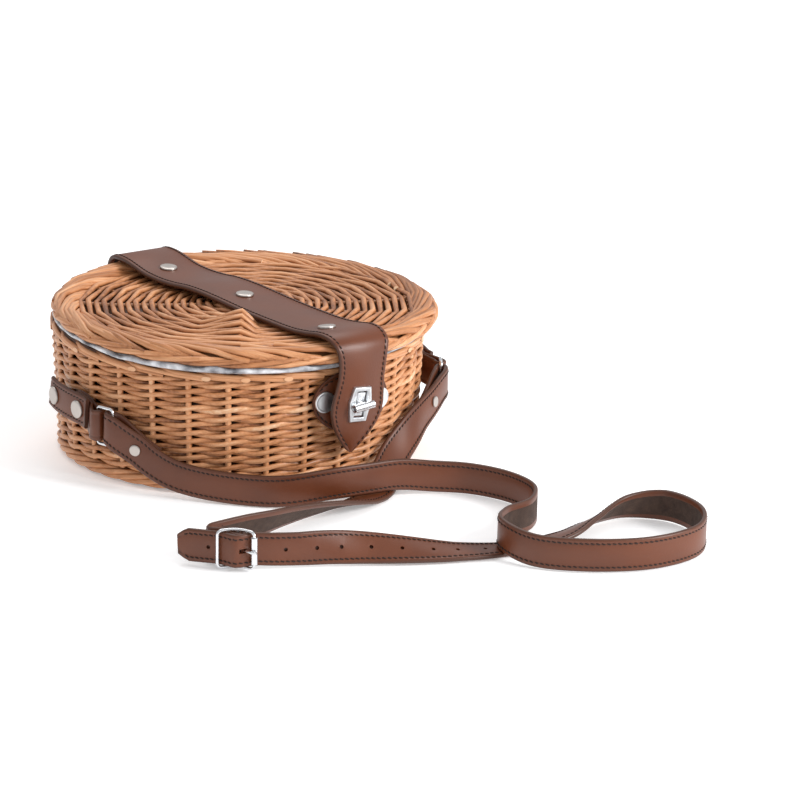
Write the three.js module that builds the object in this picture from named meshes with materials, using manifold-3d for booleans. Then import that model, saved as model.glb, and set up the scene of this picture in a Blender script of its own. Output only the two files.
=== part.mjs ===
import * as THREE from 'three';
import { mergeVertices } from 'three/addons/utils/BufferGeometryUtils.js';
import Module from 'manifold-3d';

const wasm = await Module();
wasm.setup();

// Round wicker shoulder bag. Millimetres, +Z up, lock at the front (-Y), floor at Z = 0.

// basket
const wallFootRadius = 113.2;
const wallFlare = 0.0485;
const wallThickness = 6;
const wallFoot = 9.6;
const footRadius = 114.2;
const footHeight = 9.2;
const seamMiddle = 84.5;
const seamTilt = 5;
const seamFacing = -112.5;
const rimHeight = 7;
const liningEdge = 2.4;
const ringSteps = 40;

// lid
const lidCentreX = 2;
const lidCentreY = -4;
const lidRadius = 121.5;
const lidPanelRadius = 107;
const lidTopMiddle = 95.2;
const lidTopRise = 1.3;

// leather
const gap = 0.35;
const lidStrapThickness = 2.8;
const strapWidth = 19.4;
const strapThickness = 2.6;
const tabWidth = 19.4;
const tabThickness = 2.4;
const loopThickness = 2;

// metal
const rivetRadius = 5.6;
const rivetHeight = 2.3;
const rivetShank = 1.8;
const discRadius = 6.7;
const ringWire = 1.1;
const ringSpan = 12;
const ringInside = 20.6;
const buckleWire = 0.95;
const buckleSpan = 21;
const buckleInside = 19.9;
const buckleRise = 12.05;
const buckleBow = 4.2;

// turn lock, on a plane that leans with the flap
const lockHeight = 56;
const lockAside = -2.5;
const lockOut = -126;
const lockLean = 6.8;
const lockTurn = 5;
const plateHeight = 22;
const windowHeight = 16.8;
const windowWidth = 7.6;
const barRadius = 2.4;
const barLength = 15.4;
const barTilt = 7;

const wicker = new THREE.MeshStandardMaterial({ color: 0xc08a5c, roughness: 0.65, metalness: 0 });
const leather = new THREE.MeshStandardMaterial({ color: 0x5a3427, roughness: 0.5, metalness: 0 });
const silver = new THREE.MeshStandardMaterial({ color: 0xd4d4d8, roughness: 0.2, metalness: 1 });
const cloth = new THREE.MeshStandardMaterial({ color: 0xc4c6ca, roughness: 0.35, metalness: 0 });

const group = new THREE.Group();
group.name = 'wicker_shoulder_bag';

function degrees(value) {
  return THREE.MathUtils.degToRad(value);
}

function polar(radius, angle, height) {
  const a = degrees(angle);
  return new THREE.Vector3(radius * Math.cos(a), radius * Math.sin(a), height);
}

function add(name, geometry, look) {
  const mesh = new THREE.Mesh(geometry, look);
  mesh.name = name;
  group.add(mesh);
  return mesh;
}

function bare(geometry) {
  const plain = new THREE.BufferGeometry();
  plain.setAttribute('position', geometry.getAttribute('position').clone());
  if (geometry.index) plain.setIndex(geometry.index.clone());
  return mergeVertices(plain, 1e-4);
}

function fromTriangles(triangles) {
  const kept = triangles.filter(([a, b, c]) => a.distanceTo(b) > 1e-5 && b.distanceTo(c) > 1e-5
    && c.distanceTo(a) > 1e-5);
  const geometry = new THREE.BufferGeometry().setFromPoints(kept.flat());
  return mergeVertices(geometry, 1e-4);
}

function toManifold(geometry) {
  const plain = bare(geometry);
  return new wasm.Manifold(new wasm.Mesh({
    numProp: 3,
    vertProperties: new Float32Array(plain.getAttribute('position').array),
    triVerts: new Uint32Array(plain.index.array),
  }));
}

function fromManifold(body) {
  const mesh = body.getMesh();
  const geometry = new THREE.BufferGeometry();
  geometry.setAttribute('position', new THREE.BufferAttribute(new Float32Array(mesh.vertProperties), 3));
  geometry.setIndex(new THREE.BufferAttribute(new Uint32Array(mesh.triVerts), 1));
  return geometry;
}

function cut(geometry, cutters) {
  let body = toManifold(geometry);
  for (const cutter of cutters) body = body.subtract(toManifold(cutter));
  return fromManifold(body);
}

function join(pieces) {
  let body = toManifold(pieces[0]);
  for (const piece of pieces.slice(1)) body = body.add(toManifold(piece));
  return fromManifold(body);
}

// solid of revolution whose [radius, height] section may change with the angle
function turned(sectionAt, centreX = 0, centreY = 0, steps = ringSteps) {
  const rows = [];
  for (let i = 0; i < steps; i += 1) {
    const angle = (i / steps) * 360;
    const centre = new THREE.Vector3(centreX, centreY, 0);
    rows.push(sectionAt(angle).map(([r, z]) => polar(r, angle, z).add(centre)));
  }
  const triangles = [];
  for (let i = 0; i < steps; i += 1) {
    const here = rows[i];
    const next = rows[(i + 1) % steps];
    for (let j = 0; j < here.length; j += 1) {
      const k = (j + 1) % here.length;
      triangles.push([here[j], next[j], next[k]]);
      triangles.push([here[j], next[k], here[k]]);
    }
  }
  return fromTriangles(triangles);
}

// leather strip through stations {at, across, half}
function strip(stations, thickness) {
  const sections = stations.map((station, i) => {
    const before = stations[Math.max(i - 1, 0)].at;
    const after = stations[Math.min(i + 1, stations.length - 1)].at;
    const along = after.clone().sub(before).normalize();
    const across = station.across.clone();
    across.addScaledVector(along, -across.dot(along)).normalize();
    const face = along.clone().cross(across);
    const w = station.half;
    const t = thickness / 2;
    const outline = [[w, -t], [w, t], [-w, t], [-w, -t]];
    return outline.map(([u, v]) => station.at.clone().addScaledVector(across, u).addScaledVector(face, v));
  });
  const triangles = [];
  const count = sections[0].length;
  for (let i = 0; i + 1 < sections.length; i += 1) {
    for (let k = 0; k < count; k += 1) {
      const n = (k + 1) % count;
      triangles.push([sections[i][k], sections[i][n], sections[i + 1][n]]);
      triangles.push([sections[i][k], sections[i + 1][n], sections[i + 1][k]]);
    }
  }
  const first = sections[0];
  const last = sections[sections.length - 1];
  for (let k = 1; k + 1 < count; k += 1) {
    triangles.push([first[0], first[k + 1], first[k]]);
    triangles.push([last[0], last[k], last[k + 1]]);
  }
  return fromTriangles(triangles);
}

// rows {at, lean}: lean 0 stands the strip on edge, 90 lays it flat; returns stations along a smooth line
function route(rows, half, perSpan = 3) {
  const points = rows.map((row) => row.at);
  const curve = new THREE.CatmullRomCurve3(points, false, 'centripetal');
  const up = new THREE.Vector3(0, 0, 1);
  const acrossRows = rows.map((row, i) => {
    const before = points[Math.max(i - 1, 0)];
    const after = points[Math.min(i + 1, points.length - 1)];
    const along = after.clone().sub(before).normalize();
    const upright = up.clone().addScaledVector(along, -up.dot(along)).normalize();
    const side = along.clone().cross(upright);
    const lean = degrees(row.lean);
    return upright.multiplyScalar(Math.cos(lean)).addScaledVector(side, Math.sin(lean));
  });
  const stations = [];
  const spans = rows.length - 1;
  for (let i = 0; i <= spans * perSpan; i += 1) {
    const t = i / perSpan;
    const k = Math.min(Math.floor(t), spans - 1);
    const across = acrossRows[k].clone().lerp(acrossRows[k + 1], t - k).normalize();
    stations.push({ at: curve.getPoint(i / (spans * perSpan)), across, half });
  }
  return stations;
}

// rod from one point to another
function rod(from, to, radius, sides = 10) {
  const along = to.clone().sub(from);
  const geometry = new THREE.CylinderGeometry(radius, radius, along.length(), sides);
  const upright = new THREE.Vector3(0, 1, 0);
  geometry.applyQuaternion(new THREE.Quaternion().setFromUnitVectors(upright, along.clone().normalize()));
  const middle = from.clone().add(to).multiplyScalar(0.5);
  geometry.translate(middle.x, middle.y, middle.z);
  return bare(geometry);
}

function wire(points, radius, closed, steps) {
  const curve = new THREE.CatmullRomCurve3(points, closed, 'centripetal');
  if (closed) return bare(new THREE.TubeGeometry(curve, steps, radius, 6, true));
  const round = new THREE.Shape();
  round.absarc(0, 0, radius, 0, Math.PI * 2);
  const settings = { steps, extrudePath: curve, curveSegments: 3, bevelEnabled: false };
  return bare(new THREE.ExtrudeGeometry(round, settings));
}

// rounded capped rivet: base of the cap at `at`, shank running inwards for `depth`
function rivet(name, at, outward, radius, depth, height = rivetHeight) {
  const profile = [[0, -depth], [rivetShank, -depth], [rivetShank, 0], [radius, 0], [radius, height * 0.35],
    [radius * 0.75, height * 0.9], [0, height]];
  const geometry = new THREE.LatheGeometry(profile.map(([r, y]) => new THREE.Vector2(r, y)), 11);
  const upright = new THREE.Vector3(0, 1, 0);
  geometry.applyQuaternion(new THREE.Quaternion().setFromUnitVectors(upright, outward.clone().normalize()));
  geometry.translate(at.x, at.y, at.z);
  add(name, bare(geometry), silver);
}

function shankHole(at, outward, depth) {
  const out = outward.clone().normalize();
  const outer = at.clone().addScaledVector(out, 1);
  return rod(outer, at.clone().addScaledVector(out, -depth), rivetShank + 0.6, 8);
}

// nearest station of a line: a seat on its outer face, and the way out
function seatOn(line, near, thickness, hint) {
  let best = 1;
  for (let i = 1; i + 1 < line.length; i += 1) {
    if (line[i].at.distanceTo(near) < line[best].at.distanceTo(near)) best = i;
  }
  const along = line[best + 1].at.clone().sub(line[best - 1].at).normalize();
  const face = along.cross(line[best].across).normalize();
  if (face.dot(hint) < 0) face.negate();
  return { at: line[best].at.clone().addScaledVector(face, thickness / 2 + gap), out: face };
}

function outwardAt(angle) {
  return polar(1, angle, 0);
}

function wallRadius(z) {
  return wallFootRadius + wallFlare * z;
}

// height of the seam between basket and lid; it dips towards the front
function seamAt(x, y) {
  const a = degrees(seamFacing);
  return seamMiddle - (seamTilt * (x * Math.cos(a) + y * Math.sin(a))) / 118;
}

function seamAround(radius, angle) {
  const p = polar(radius, angle, 0);
  return seamAt(p.x, p.y);
}

// basket body
add('basket_base', turned(() => [[0, 0], [104.6, 0], [104.6, 7], [0, 7]]), wicker);
add('foot_border', turned(() => [[105, 0.8], [106.4, 0], [110.4, 0], [113, 1.9], [footRadius, 4.8],
  [113.7, 7.6], [112, footHeight], [106.4, footHeight], [105, 7.6]]), wicker);
add('basket_wall', turned((angle) => {
  const top = seamAround(117, angle) - liningEdge / 2 - rimHeight - 2 * gap;
  const inner = wallThickness;
  return [[wallRadius(wallFoot) - inner, wallFoot], [wallRadius(wallFoot), wallFoot],
    [wallRadius(45) + 0.3, 45], [wallRadius(top), top], [wallRadius(top) - inner, top],
    [wallRadius(45) + 0.3 - inner, 45]];
}), wicker);
add('rim_border', turned((angle) => {
  const top = seamAround(117, angle) - liningEdge / 2 - gap;
  const low = top - rimHeight;
  return [[110.4, low + 0.8], [112, low], [116, low], [117.5, low + 2], [117.6, low + 4.6],
    [116.2, top], [112, top], [110.4, top - 1.4]];
}), wicker);
add('lining', turned((angle) => {
  const top = seamAround(114, angle) + liningEdge / 2;
  const low = top - liningEdge;
  return [[0, 7.4], [104.4, 7.4], [106.6, 10.8], [wallRadius(45) - 6.2, 45], [109.9, low],
    [117.9, low], [118.6, low + 1.2], [117.9, top],
    [108.9, top], [wallRadius(45) - 7.2, 45], [105.6, 11.2], [103.8, 8.4], [0, 8.4]];
}), cloth);

// lid: raised hub and border, shallow between
function lidTop(angle) {
  return lidTopMiddle + lidTopRise * Math.sin(degrees(angle));
}

function underLid(radius, angle) {
  const p = polar(radius, angle, 0);
  return seamAt(p.x + lidCentreX, p.y + lidCentreY) + liningEdge / 2 + gap + 0.2;
}

add('lid_panel', turned((angle) => [[0, underLid(0, angle)],
  [lidPanelRadius, underLid(lidPanelRadius, angle)],
  [lidPanelRadius, 92.6], [84, 91.2], [50, 91.8], [18, 93.4], [0, 93.8]], lidCentreX, lidCentreY), wicker);
add('lid_border', turned((angle) => {
  const low = underLid(115, angle);
  const top = lidTop(angle);
  const tall = top - low;
  const inner = lidPanelRadius + gap;
  return [[inner, low + 1.2], [inner + 1.8, low], [117, low], [120.2, low + tall * 0.2],
    [lidRadius, low + tall * 0.48],
    [120.3, low + tall * 0.78], [117, low + tall * 0.97], [112.5, top], [inner, low + tall * 0.9]];
}, lidCentreX, lidCentreY), wicker);

// leather strap over the lid, hinged on the back wall and running down to the lock
const lidStrapRows = [
  { x: 3.5, y: 119.9, z: 40, half: 20.5 },
  { x: 3.5, y: 119.9, z: 52, half: 21.5 },
  { x: 3.5, y: 120.3, z: 70, half: 21.5 },
  { x: 3.5, y: 120.5, z: 84, half: 21.5 },
  { x: 3.5, y: 120.4, z: 90, half: 21.5 },
  { x: 3.5, y: 119.7, z: 93.8, half: 21.5 },
  { x: 3.5, y: 117.7, z: 97, half: 21.5 },
  { x: 3.4, y: 113.6, z: 98.9, half: 21.5 },
  { x: 3.1, y: 106, z: 99.3, half: 21.5 },
  { x: 2.7, y: 97, z: 98.7, half: 21.5 },
  { x: 2.2, y: 87, z: 97.1, half: 21.5 },
  { x: 1.6, y: 76, z: 95.5, half: 21.5 },
  { x: 0.9, y: 60, z: 94.9, half: 21.5 },
  { x: 0.4, y: 44, z: 95.5, half: 21.5 },
  { x: 0.1, y: 28, z: 96.9, half: 21.5 },
  { x: 0, y: 12, z: 97.1, half: 21.5 },
  { x: 0, y: -9, z: 96.2, half: 21.5 },
  { x: 0, y: -30, z: 95, half: 21.5 },
  { x: 0, y: -60, z: 94.1, half: 21.5 },
  { x: 0, y: -84, z: 94.1, half: 21.5 },
  { x: 0, y: -98, z: 95.4, half: 21.5 },
  { x: 0, y: -110, z: 97.2, half: 21.5 },
  { x: 0, y: -118, z: 96.9, half: 21 },
  { x: 0, y: -122.6, z: 95.2, half: 20.4 },
  { x: -0.1, y: -126.2, z: 92.2, half: 19.6 },
  { x: -0.4, y: -127.9, z: 86.8, half: 18 },
  { x: -0.8, y: -128.3, z: 80, half: 17.2 },
  { x: -1.3, y: -127.8, z: 72, half: 17.1 },
  { x: -1.9, y: -126.95, z: 64, half: 18.2 },
  { x: -2.5, y: -126, z: 56, half: 19.3 },
  { x: -2.9, y: -125.3, z: 50, half: 19.2 },
  { x: -3.4, y: -124.56, z: 44, half: 17.2 },
  { x: -3.9, y: -123.84, z: 38, half: 13.6 },
  { x: -4.4, y: -123, z: 32, half: 8.8 },
  { x: -4.8, y: -122.3, z: 27.5, half: 4.4 },
  { x: -5, y: -121.9, z: 25, half: 1 },
];
const lidStrapPoints = lidStrapRows.map((row) => new THREE.Vector3(row.x, row.y, row.z));
const lidStrapCurve = new THREE.CatmullRomCurve3(lidStrapPoints, false, 'centripetal');
const lidStrapStations = [];
const lidSpans = lidStrapRows.length - 1;
for (let i = 0; i <= lidSpans * 2; i += 1) {
  const k = Math.min(Math.floor(i / 2), lidSpans - 1);
  const half = THREE.MathUtils.lerp(lidStrapRows[k].half, lidStrapRows[k + 1].half, i / 2 - k);
  const at = lidStrapCurve.getPoint(i / (lidSpans * 2));
  lidStrapStations.push({ at, across: new THREE.Vector3(-1, 0, 0), half });
}

// lock plane: x to the right, y inwards, z up, origin in the middle of the flap's leather
const lockPlace = new THREE.Matrix4().makeTranslation(lockAside, lockOut, lockHeight)
  .multiply(new THREE.Matrix4().makeRotationX(degrees(lockLean)))
  .multiply(new THREE.Matrix4().makeRotationY(degrees(lockTurn)));

function inLock(geometry) {
  geometry.applyMatrix4(lockPlace);
  return bare(geometry);
}

function block(sizeX, sizeY, sizeZ, y) {
  return new THREE.BoxGeometry(sizeX, sizeY, sizeZ).translate(0, y, 0);
}

const up = new THREE.Vector3(0, 0, 1);
const out = new THREE.Vector3(0, -1, 0);
const lidRivets = [
  { name: 'lid_rivet_back', x: -1, y: 76, z: 95.5 },
  { name: 'lid_rivet_middle', x: -2, y: -9, z: 96.2 },
  { name: 'lid_rivet_front', x: -5, y: -98, z: 95.4 },
];
const strapCuts = [inLock(block(windowWidth - 0.4, 9, windowHeight - 0.4, 0))];
for (const row of lidRivets) {
  const seat = seatOn(lidStrapStations, new THREE.Vector3(0, row.y, row.z), lidStrapThickness, up);
  seat.at.x = row.x;
  rivet(row.name, seat.at, seat.out, rivetRadius, 3.9);
  strapCuts.push(shankHole(seat.at, seat.out, 6));
}
for (const [name, x] of [['hinge_rivet_left', 14.5], ['hinge_rivet_right', -7.5]]) {
  const back = new THREE.Vector3(0, 1, 0);
  const seat = seatOn(lidStrapStations, new THREE.Vector3(0, 119.9, 52), lidStrapThickness, back);
  seat.at.x = x;
  rivet(name, seat.at, seat.out, rivetRadius, 5.2);
  strapCuts.push(shankHole(seat.at, seat.out, 6));
}
add('lid_strap', cut(strip(lidStrapStations, lidStrapThickness), strapCuts), leather);

// oval leather patch behind the lock with its two discs
const patchHeight = 55.5;
const patchSlope = 0.1;
const patchHalf = 28;

function onPatch(arc, lift) {
  const z = patchHeight - patchSlope * arc;
  const radius = wallRadius(z) + 2.2;
  const angle = -90 + THREE.MathUtils.radToDeg(arc / radius);
  return { at: polar(radius + lift, angle, z), angle };
}

const patchRows = [];
for (let i = 0; i <= 16; i += 1) {
  const a = Math.PI * (i / 16 - 0.5);
  const spot = onPatch(patchHalf * Math.sin(a), 0);
  const across = up.clone().addScaledVector(outwardAt(spot.angle), wallFlare);
  patchRows.push({ at: spot.at, across, half: Math.max(20 * Math.cos(a), 1.2) });
}
const patchCuts = [];
for (const [name, arc] of [['lock_disc_left', -20.8], ['lock_disc_right', 20.8]]) {
  const spot = onPatch(arc, 0);
  const outwards = outwardAt(spot.angle).addScaledVector(up, -wallFlare).normalize();
  const at = spot.at.addScaledVector(outwards, 1.1 + gap);
  rivet(name, at, outwards, discRadius, 2.7, 1.9);
  patchCuts.push(shankHole(at, outwards, 4));
}
add('lock_tab', cut(strip(patchRows, 2.2), patchCuts), leather);

// turn lock: base on the patch, plate with a window on the flap, bar that turns on its post
const plateOutline = [[-6.1, 11], [6.1, 11], [8.2, 1.5], [7.2, -4],
  [6.1, -11], [-6.1, -11], [-7.4, -4], [-8.2, 1.5]];
const platePoints = plateOutline.map(([x, z]) => new THREE.Vector2(x, (z * plateHeight) / 22));
const plateShape = new THREE.Shape(platePoints);
const plate = new THREE.ExtrudeGeometry(plateShape, { depth: 1.7, bevelEnabled: false, steps: 1 });
plate.rotateX(Math.PI / 2);
plate.translate(0, -1.4 - gap, 0);
add('lock_plate', inLock(cut(plate, [block(windowWidth, 9, windowHeight, -2)])), silver);

const base = block(12, 1.4, 16, 5);
const boss = block(6, 7.2, 15, 1);
const bossBore = rod(new THREE.Vector3(0, 2, 0), new THREE.Vector3(0, -4, 0), 2.3, 12);
add('lock_base', inLock(cut(join([base, boss]), [bossBore])), silver);

const barEnd = new THREE.Vector3(Math.cos(degrees(barTilt)), 0, Math.sin(degrees(barTilt)));
const barMiddle = new THREE.Vector3(0, -6.4, 0);
const barLeft = barMiddle.clone().addScaledVector(barEnd, -barLength / 2);
const barRight = barMiddle.clone().addScaledVector(barEnd, barLength / 2);
const barStem = rod(new THREE.Vector3(0, 1.6, 0), barMiddle, 1.9, 10);
const barBody = join([rod(barLeft, barRight, barRadius, 12), barStem]);
const bores = [
  rod(barLeft.clone().addScaledVector(barEnd, -1), barLeft.clone().addScaledVector(barEnd, 3.5), 1.5, 8),
  rod(barRight.clone().addScaledVector(barEnd, -3.5), barRight.clone().addScaledVector(barEnd, 1), 1.5, 8),
];
add('turn_bar', inLock(cut(barBody, bores)), silver);

// side tabs: a riveted strip, a folded loop under it and a rectangular ring for the shoulder strap
function sideFittings(side, ringAngle, ringRadius, ringHeight, sign, shift, tabHeights) {
  const bar = THREE.MathUtils.radToDeg(ringSpan / 2 / ringRadius);
  const tabBar = ringAngle + sign * bar;
  const strapBar = ringAngle - sign * bar;
  const away = (offset) => tabBar + sign * offset;

  const half = ringInside / 2 + ringWire;
  const tangent = outwardAt(strapBar).sub(outwardAt(tabBar)).normalize();
  const middle = polar(ringRadius, tabBar, ringHeight);
  middle.add(polar(ringRadius, strapBar, ringHeight)).multiplyScalar(0.5);
  const corner = 2;
  const ringPoints = [];
  for (const [u, v, a0] of [[1, 1, 0], [-1, 1, 90], [-1, -1, 180], [1, -1, 270]]) {
    for (const a of [0, 45, 90]) {
      const x = u * (ringSpan / 2 - corner) + corner * Math.cos(degrees(a0 + a));
      const z = v * (half - corner) + corner * Math.sin(degrees(a0 + a));
      ringPoints.push(middle.clone().addScaledVector(tangent, x).addScaledVector(up, z));
    }
  }
  add(`${side}_ring`, wire(ringPoints, ringWire, true, 24), silver);

  const lift = ringRadius - 122.8;
  const tabRows = [
    { offset: 4.2 + shift, r: 123.8 + lift * 0.1, z: tabHeights[0] },
    { offset: 6 + shift, r: 122.75, z: (tabHeights[0] + tabHeights[1]) / 2 },
    { offset: 8.4 + shift, r: 122.5, z: tabHeights[1] },
    { offset: 14.5 + shift, r: 122.5, z: tabHeights[2] },
    { offset: 22 + shift, r: 122.5, z: tabHeights[3] },
    { offset: 25.2 + shift, r: 122.9, z: tabHeights[4] },
  ];
  const fold = ringWire + 0.8 + loopThickness / 2;
  const foldAngle = THREE.MathUtils.radToDeg(fold / ringRadius);
  const near = (tabHeights[0] + ringHeight) / 2;
  const loopRows = [
    { offset: 11.5 + shift, r: 119.95, z: tabHeights[1] },
    { offset: 8.2 + shift, r: 119.95, z: tabHeights[1] - 0.4 },
    { offset: 6.4 + shift, r: 119.95, z: tabHeights[1] - 1.4 },
    { offset: 4.8 + shift, r: 120.3, z: near },
    { offset: 2.8 + shift * 0.55, r: 123 + lift * 0.5, z: (near + ringHeight) / 2 },
    { offset: 1, r: ringRadius + fold, z: ringHeight },
    { offset: -0.4, r: ringRadius + fold * 0.9, z: ringHeight },
    { offset: -foldAngle, r: ringRadius, z: ringHeight },
    { offset: -0.4, r: ringRadius - fold * 0.9, z: ringHeight },
    { offset: 1, r: ringRadius - fold, z: ringHeight },
    { offset: 4.8 + shift, r: 118.2 + lift * 0.1, z: near },
    { offset: 8.2 + shift, r: 117.5, z: tabHeights[1] - 0.4 },
    { offset: 11.5 + shift, r: 117.5, z: tabHeights[1] },
  ];
  const place = (row) => ({ at: polar(row.r, away(row.offset), row.z), lean: 0 });
  const tabLine = route(tabRows.map(place), tabWidth / 2, 2);
  const loopLine = route(loopRows.map(place), tabWidth / 2, 2);
  const tabCuts = [];
  const loopCuts = [];
  for (const [number, row, depth] of [['near', tabRows[2], 7.2], ['far', tabRows[4], 6.2]]) {
    const seat = seatOn(tabLine, place(row).at, tabThickness, outwardAt(away(row.offset)));
    rivet(`${side}_tab_rivet_${number}`, seat.at, seat.out, rivetRadius, depth);
    tabCuts.push(shankHole(seat.at, seat.out, depth + 1));
    if (number === 'near') loopCuts.push(shankHole(seat.at, seat.out, depth + 2));
  }
  add(`${side}_tab`, cut(strip(tabLine, tabThickness), tabCuts), leather);
  add(`${side}_loop`, cut(strip(loopLine, loopThickness), loopCuts), leather);
  return strapBar;
}

const leftBar = sideFittings('left', -166.4, 122.8, 37.2, -1, 0, [42, 43, 43.6, 44.4, 46]);
const rightBar = sideFittings('right', -35.3, 127.4, 42.2, 1, 3, [44, 45, 45, 45, 45]);

// buckle frame of reference: u towards the strap's tip, n out of the strap's face
const buckleAt = new THREE.Vector3(-146.8, -202.6, buckleRise);
const buckleU = new THREE.Vector3(-0.712, 0.702, 0).normalize();
const buckleN = new THREE.Vector3(-0.702, -0.712, 0).normalize();

function inBuckle(u, n, z = 0) {
  const flat = buckleAt.clone().addScaledVector(buckleU, u).addScaledVector(buckleN, n);
  return flat.add(new THREE.Vector3(0, 0, z));
}

function floorRow(x, y, z, lean) {
  return { at: new THREE.Vector3(x, y, z), lean };
}

function wallRow(r, angle, z, lean = 0) {
  return { at: polar(r, angle, z), lean };
}

function buckleRow(u, n, lean) {
  return { at: inBuckle(u, n), lean };
}

// long strap: folded end at the left ring, along the floor, round the loop and through the buckle to its tip
const longRows = [
  wallRow(119.6, -150.3, 20.2),
  wallRow(119.5, -155.6, 26.2),
  wallRow(119.5, -159.4, 31.6),
  wallRow(119.7, leftBar + 0.3, 36.6),
  wallRow(120.6, leftBar - 1.5, 37.2),
  wallRow(122.8, leftBar - 2.2, 37.2),
  wallRow(125.2, leftBar - 1.5, 37.1),
  wallRow(126, leftBar + 0.5, 36),
  wallRow(124.9, -159.6, 31.6),
  wallRow(122.6, -155.6, 26.6),
  wallRow(122.5, -151.2, 20.8),
  wallRow(122.6, -146.6, 16),
  wallRow(123.1, -142, 13),
  floorRow(-83.3, -97, 10.4, 0),
  floorRow(-59, -124.6, 10.1, 0),
  floorRow(-27, -139, 13.2, 0),
  floorRow(-6, -143, 13.4, 0),
  floorRow(14, -147, 13.4, 0),
  floorRow(34, -155, 10.8, 0),
  floorRow(50.2, -168.6, 10, 0),
  floorRow(59.4, -194, 10, 0),
  floorRow(56.2, -222, 10, 0),
  floorRow(37, -242, 10, 0),
  floorRow(10, -251.5, 11.6, 0),
  floorRow(-7, -268, 13.2, 0),
  floorRow(-6, -293, 10.4, 0),
  floorRow(12, -317, 10, 0),
  floorRow(48, -337, 10, 0),
  floorRow(85, -334.6, 10, 0),
  floorRow(110, -309, 10, 0),
  floorRow(112.5, -277, 10.1, -6),
  floorRow(92, -262.2, 9.3, -32),
  floorRow(61, -266.2, 6.6, -60),
  floorRow(40, -270.6, 4.2, -76),
  floorRow(16, -268.6, 2, -88),
  floorRow(-4, -264.2, 1.8, -91),
  floorRow(-30, -257, 3.7, -101),
  floorRow(-60, -243.6, 7.1, -125),
  floorRow(-81.5, -232, 9.2, -144),
  floorRow(-98, -225, 10.6, -163),
  floorRow(-115, -218.6, 11.2, -178),
  floorRow(-128, -212.6, 11.8, -180),
  buckleRow(-10.5, -4.1, -180),
  buckleRow(-5.2, -0.8, -180),
  buckleRow(0, 2.2, -180),
  buckleRow(5.2, -0.8, -180),
  buckleRow(10.5, -3.2, -180),
  floorRow(-156.6, -185.4, 11.7, -180),
  floorRow(-164.5, -171.5, 10.9, -180),
];

// short strap: folded end at the right ring, down the wall, under the long strap,
// curled up to the buckle's middle bar
const shortRows = [
  wallRow(121.6, -54, 32.2, -8),
  wallRow(121.6, -50, 35.4, -4),
  wallRow(122.4, -43.6, 40.4),
  wallRow(124.2, rightBar - 1, 42.1),
  wallRow(125, rightBar + 1.2, 42.2),
  wallRow(127.4, rightBar + 2, 42.2),
  wallRow(129.8, rightBar + 1.2, 42.2),
  wallRow(130.6, rightBar - 1.4, 42),
  wallRow(128.2, -44, 40.4),
  wallRow(124.8, -50, 35.8, 4),
  floorRow(63.8, -104.6, 31.2, 12),
  floorRow(48.8, -112.4, 25.2, 28),
  floorRow(32, -119.8, 16.4, 48),
  floorRow(15, -131, 7.2, 69),
  floorRow(2, -140.6, 2.1, 88),
  floorRow(-12, -147, 2.1, 93),
  floorRow(-27, -152.6, 4.1, 105),
  floorRow(-44, -156, 6.2, 119),
  floorRow(-61, -158.4, 7.5, 129),
  floorRow(-79, -161.6, 8.5, 139),
  floorRow(-98, -166.4, 9.5, 150),
  floorRow(-118, -169.6, 10.2, 162),
  floorRow(-136, -172.8, 10.4, 172),
  floorRow(-146.6, -176.2, 10.8, 178),
  floorRow(-150.4, -182.6, 11.3, 180),
  buckleRow(10.5, -9.6, 180),
  buckleRow(5.8, -8.2, 180),
  buckleRow(1.2, -7.2, 180),
  buckleRow(-1.5, -6.7, 180),
  buckleRow(-3, -4.2, 180),
  buckleRow(-1.5, -1.7, 180),
  buckleRow(1.2, -1.7, 180),
  buckleRow(5.5, -4.6, 180),
  buckleRow(9, -6, 180),
];

const longLine = route(longRows, strapWidth / 2, 3);
const shortLine = route(shortRows, strapWidth / 2, 2);

// small rivets holding the folded ends
const longSeat = seatOn(longLine, polar(122.6, -155.6, 26.6), strapThickness, outwardAt(-155.6));
const shortSeat = seatOn(shortLine, polar(124.8, -50, 35.8), strapThickness, outwardAt(-50));
rivet('long_strap_rivet', longSeat.at, longSeat.out, 3.5, 6, 1.6);
rivet('short_strap_rivet', shortSeat.at, shortSeat.out, 3.5, 6, 1.6);

// punched holes, counted from the tip along the strap
const longCuts = [shankHole(longSeat.at, longSeat.out, 8)];
const holeDistances = [17, 64, 81, 98, 115, 132, 149, 166, 183];
let walked = 0;
let nextHole = 0;
for (let i = longLine.length - 1; i > 0 && nextHole < holeDistances.length; i -= 1) {
  const here = longLine[i].at;
  const before = longLine[i - 1].at;
  const step = here.distanceTo(before);
  while (nextHole < holeDistances.length && walked + step > holeDistances[nextHole]) {
    const at = here.clone().lerp(before, (holeDistances[nextHole] - walked) / step);
    const face = before.clone().sub(here).normalize().cross(longLine[i].across).normalize();
    longCuts.push(rod(at.clone().addScaledVector(face, 3), at.clone().addScaledVector(face, -3), 1.5, 6));
    nextHole += 1;
  }
  walked += step;
}

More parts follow.
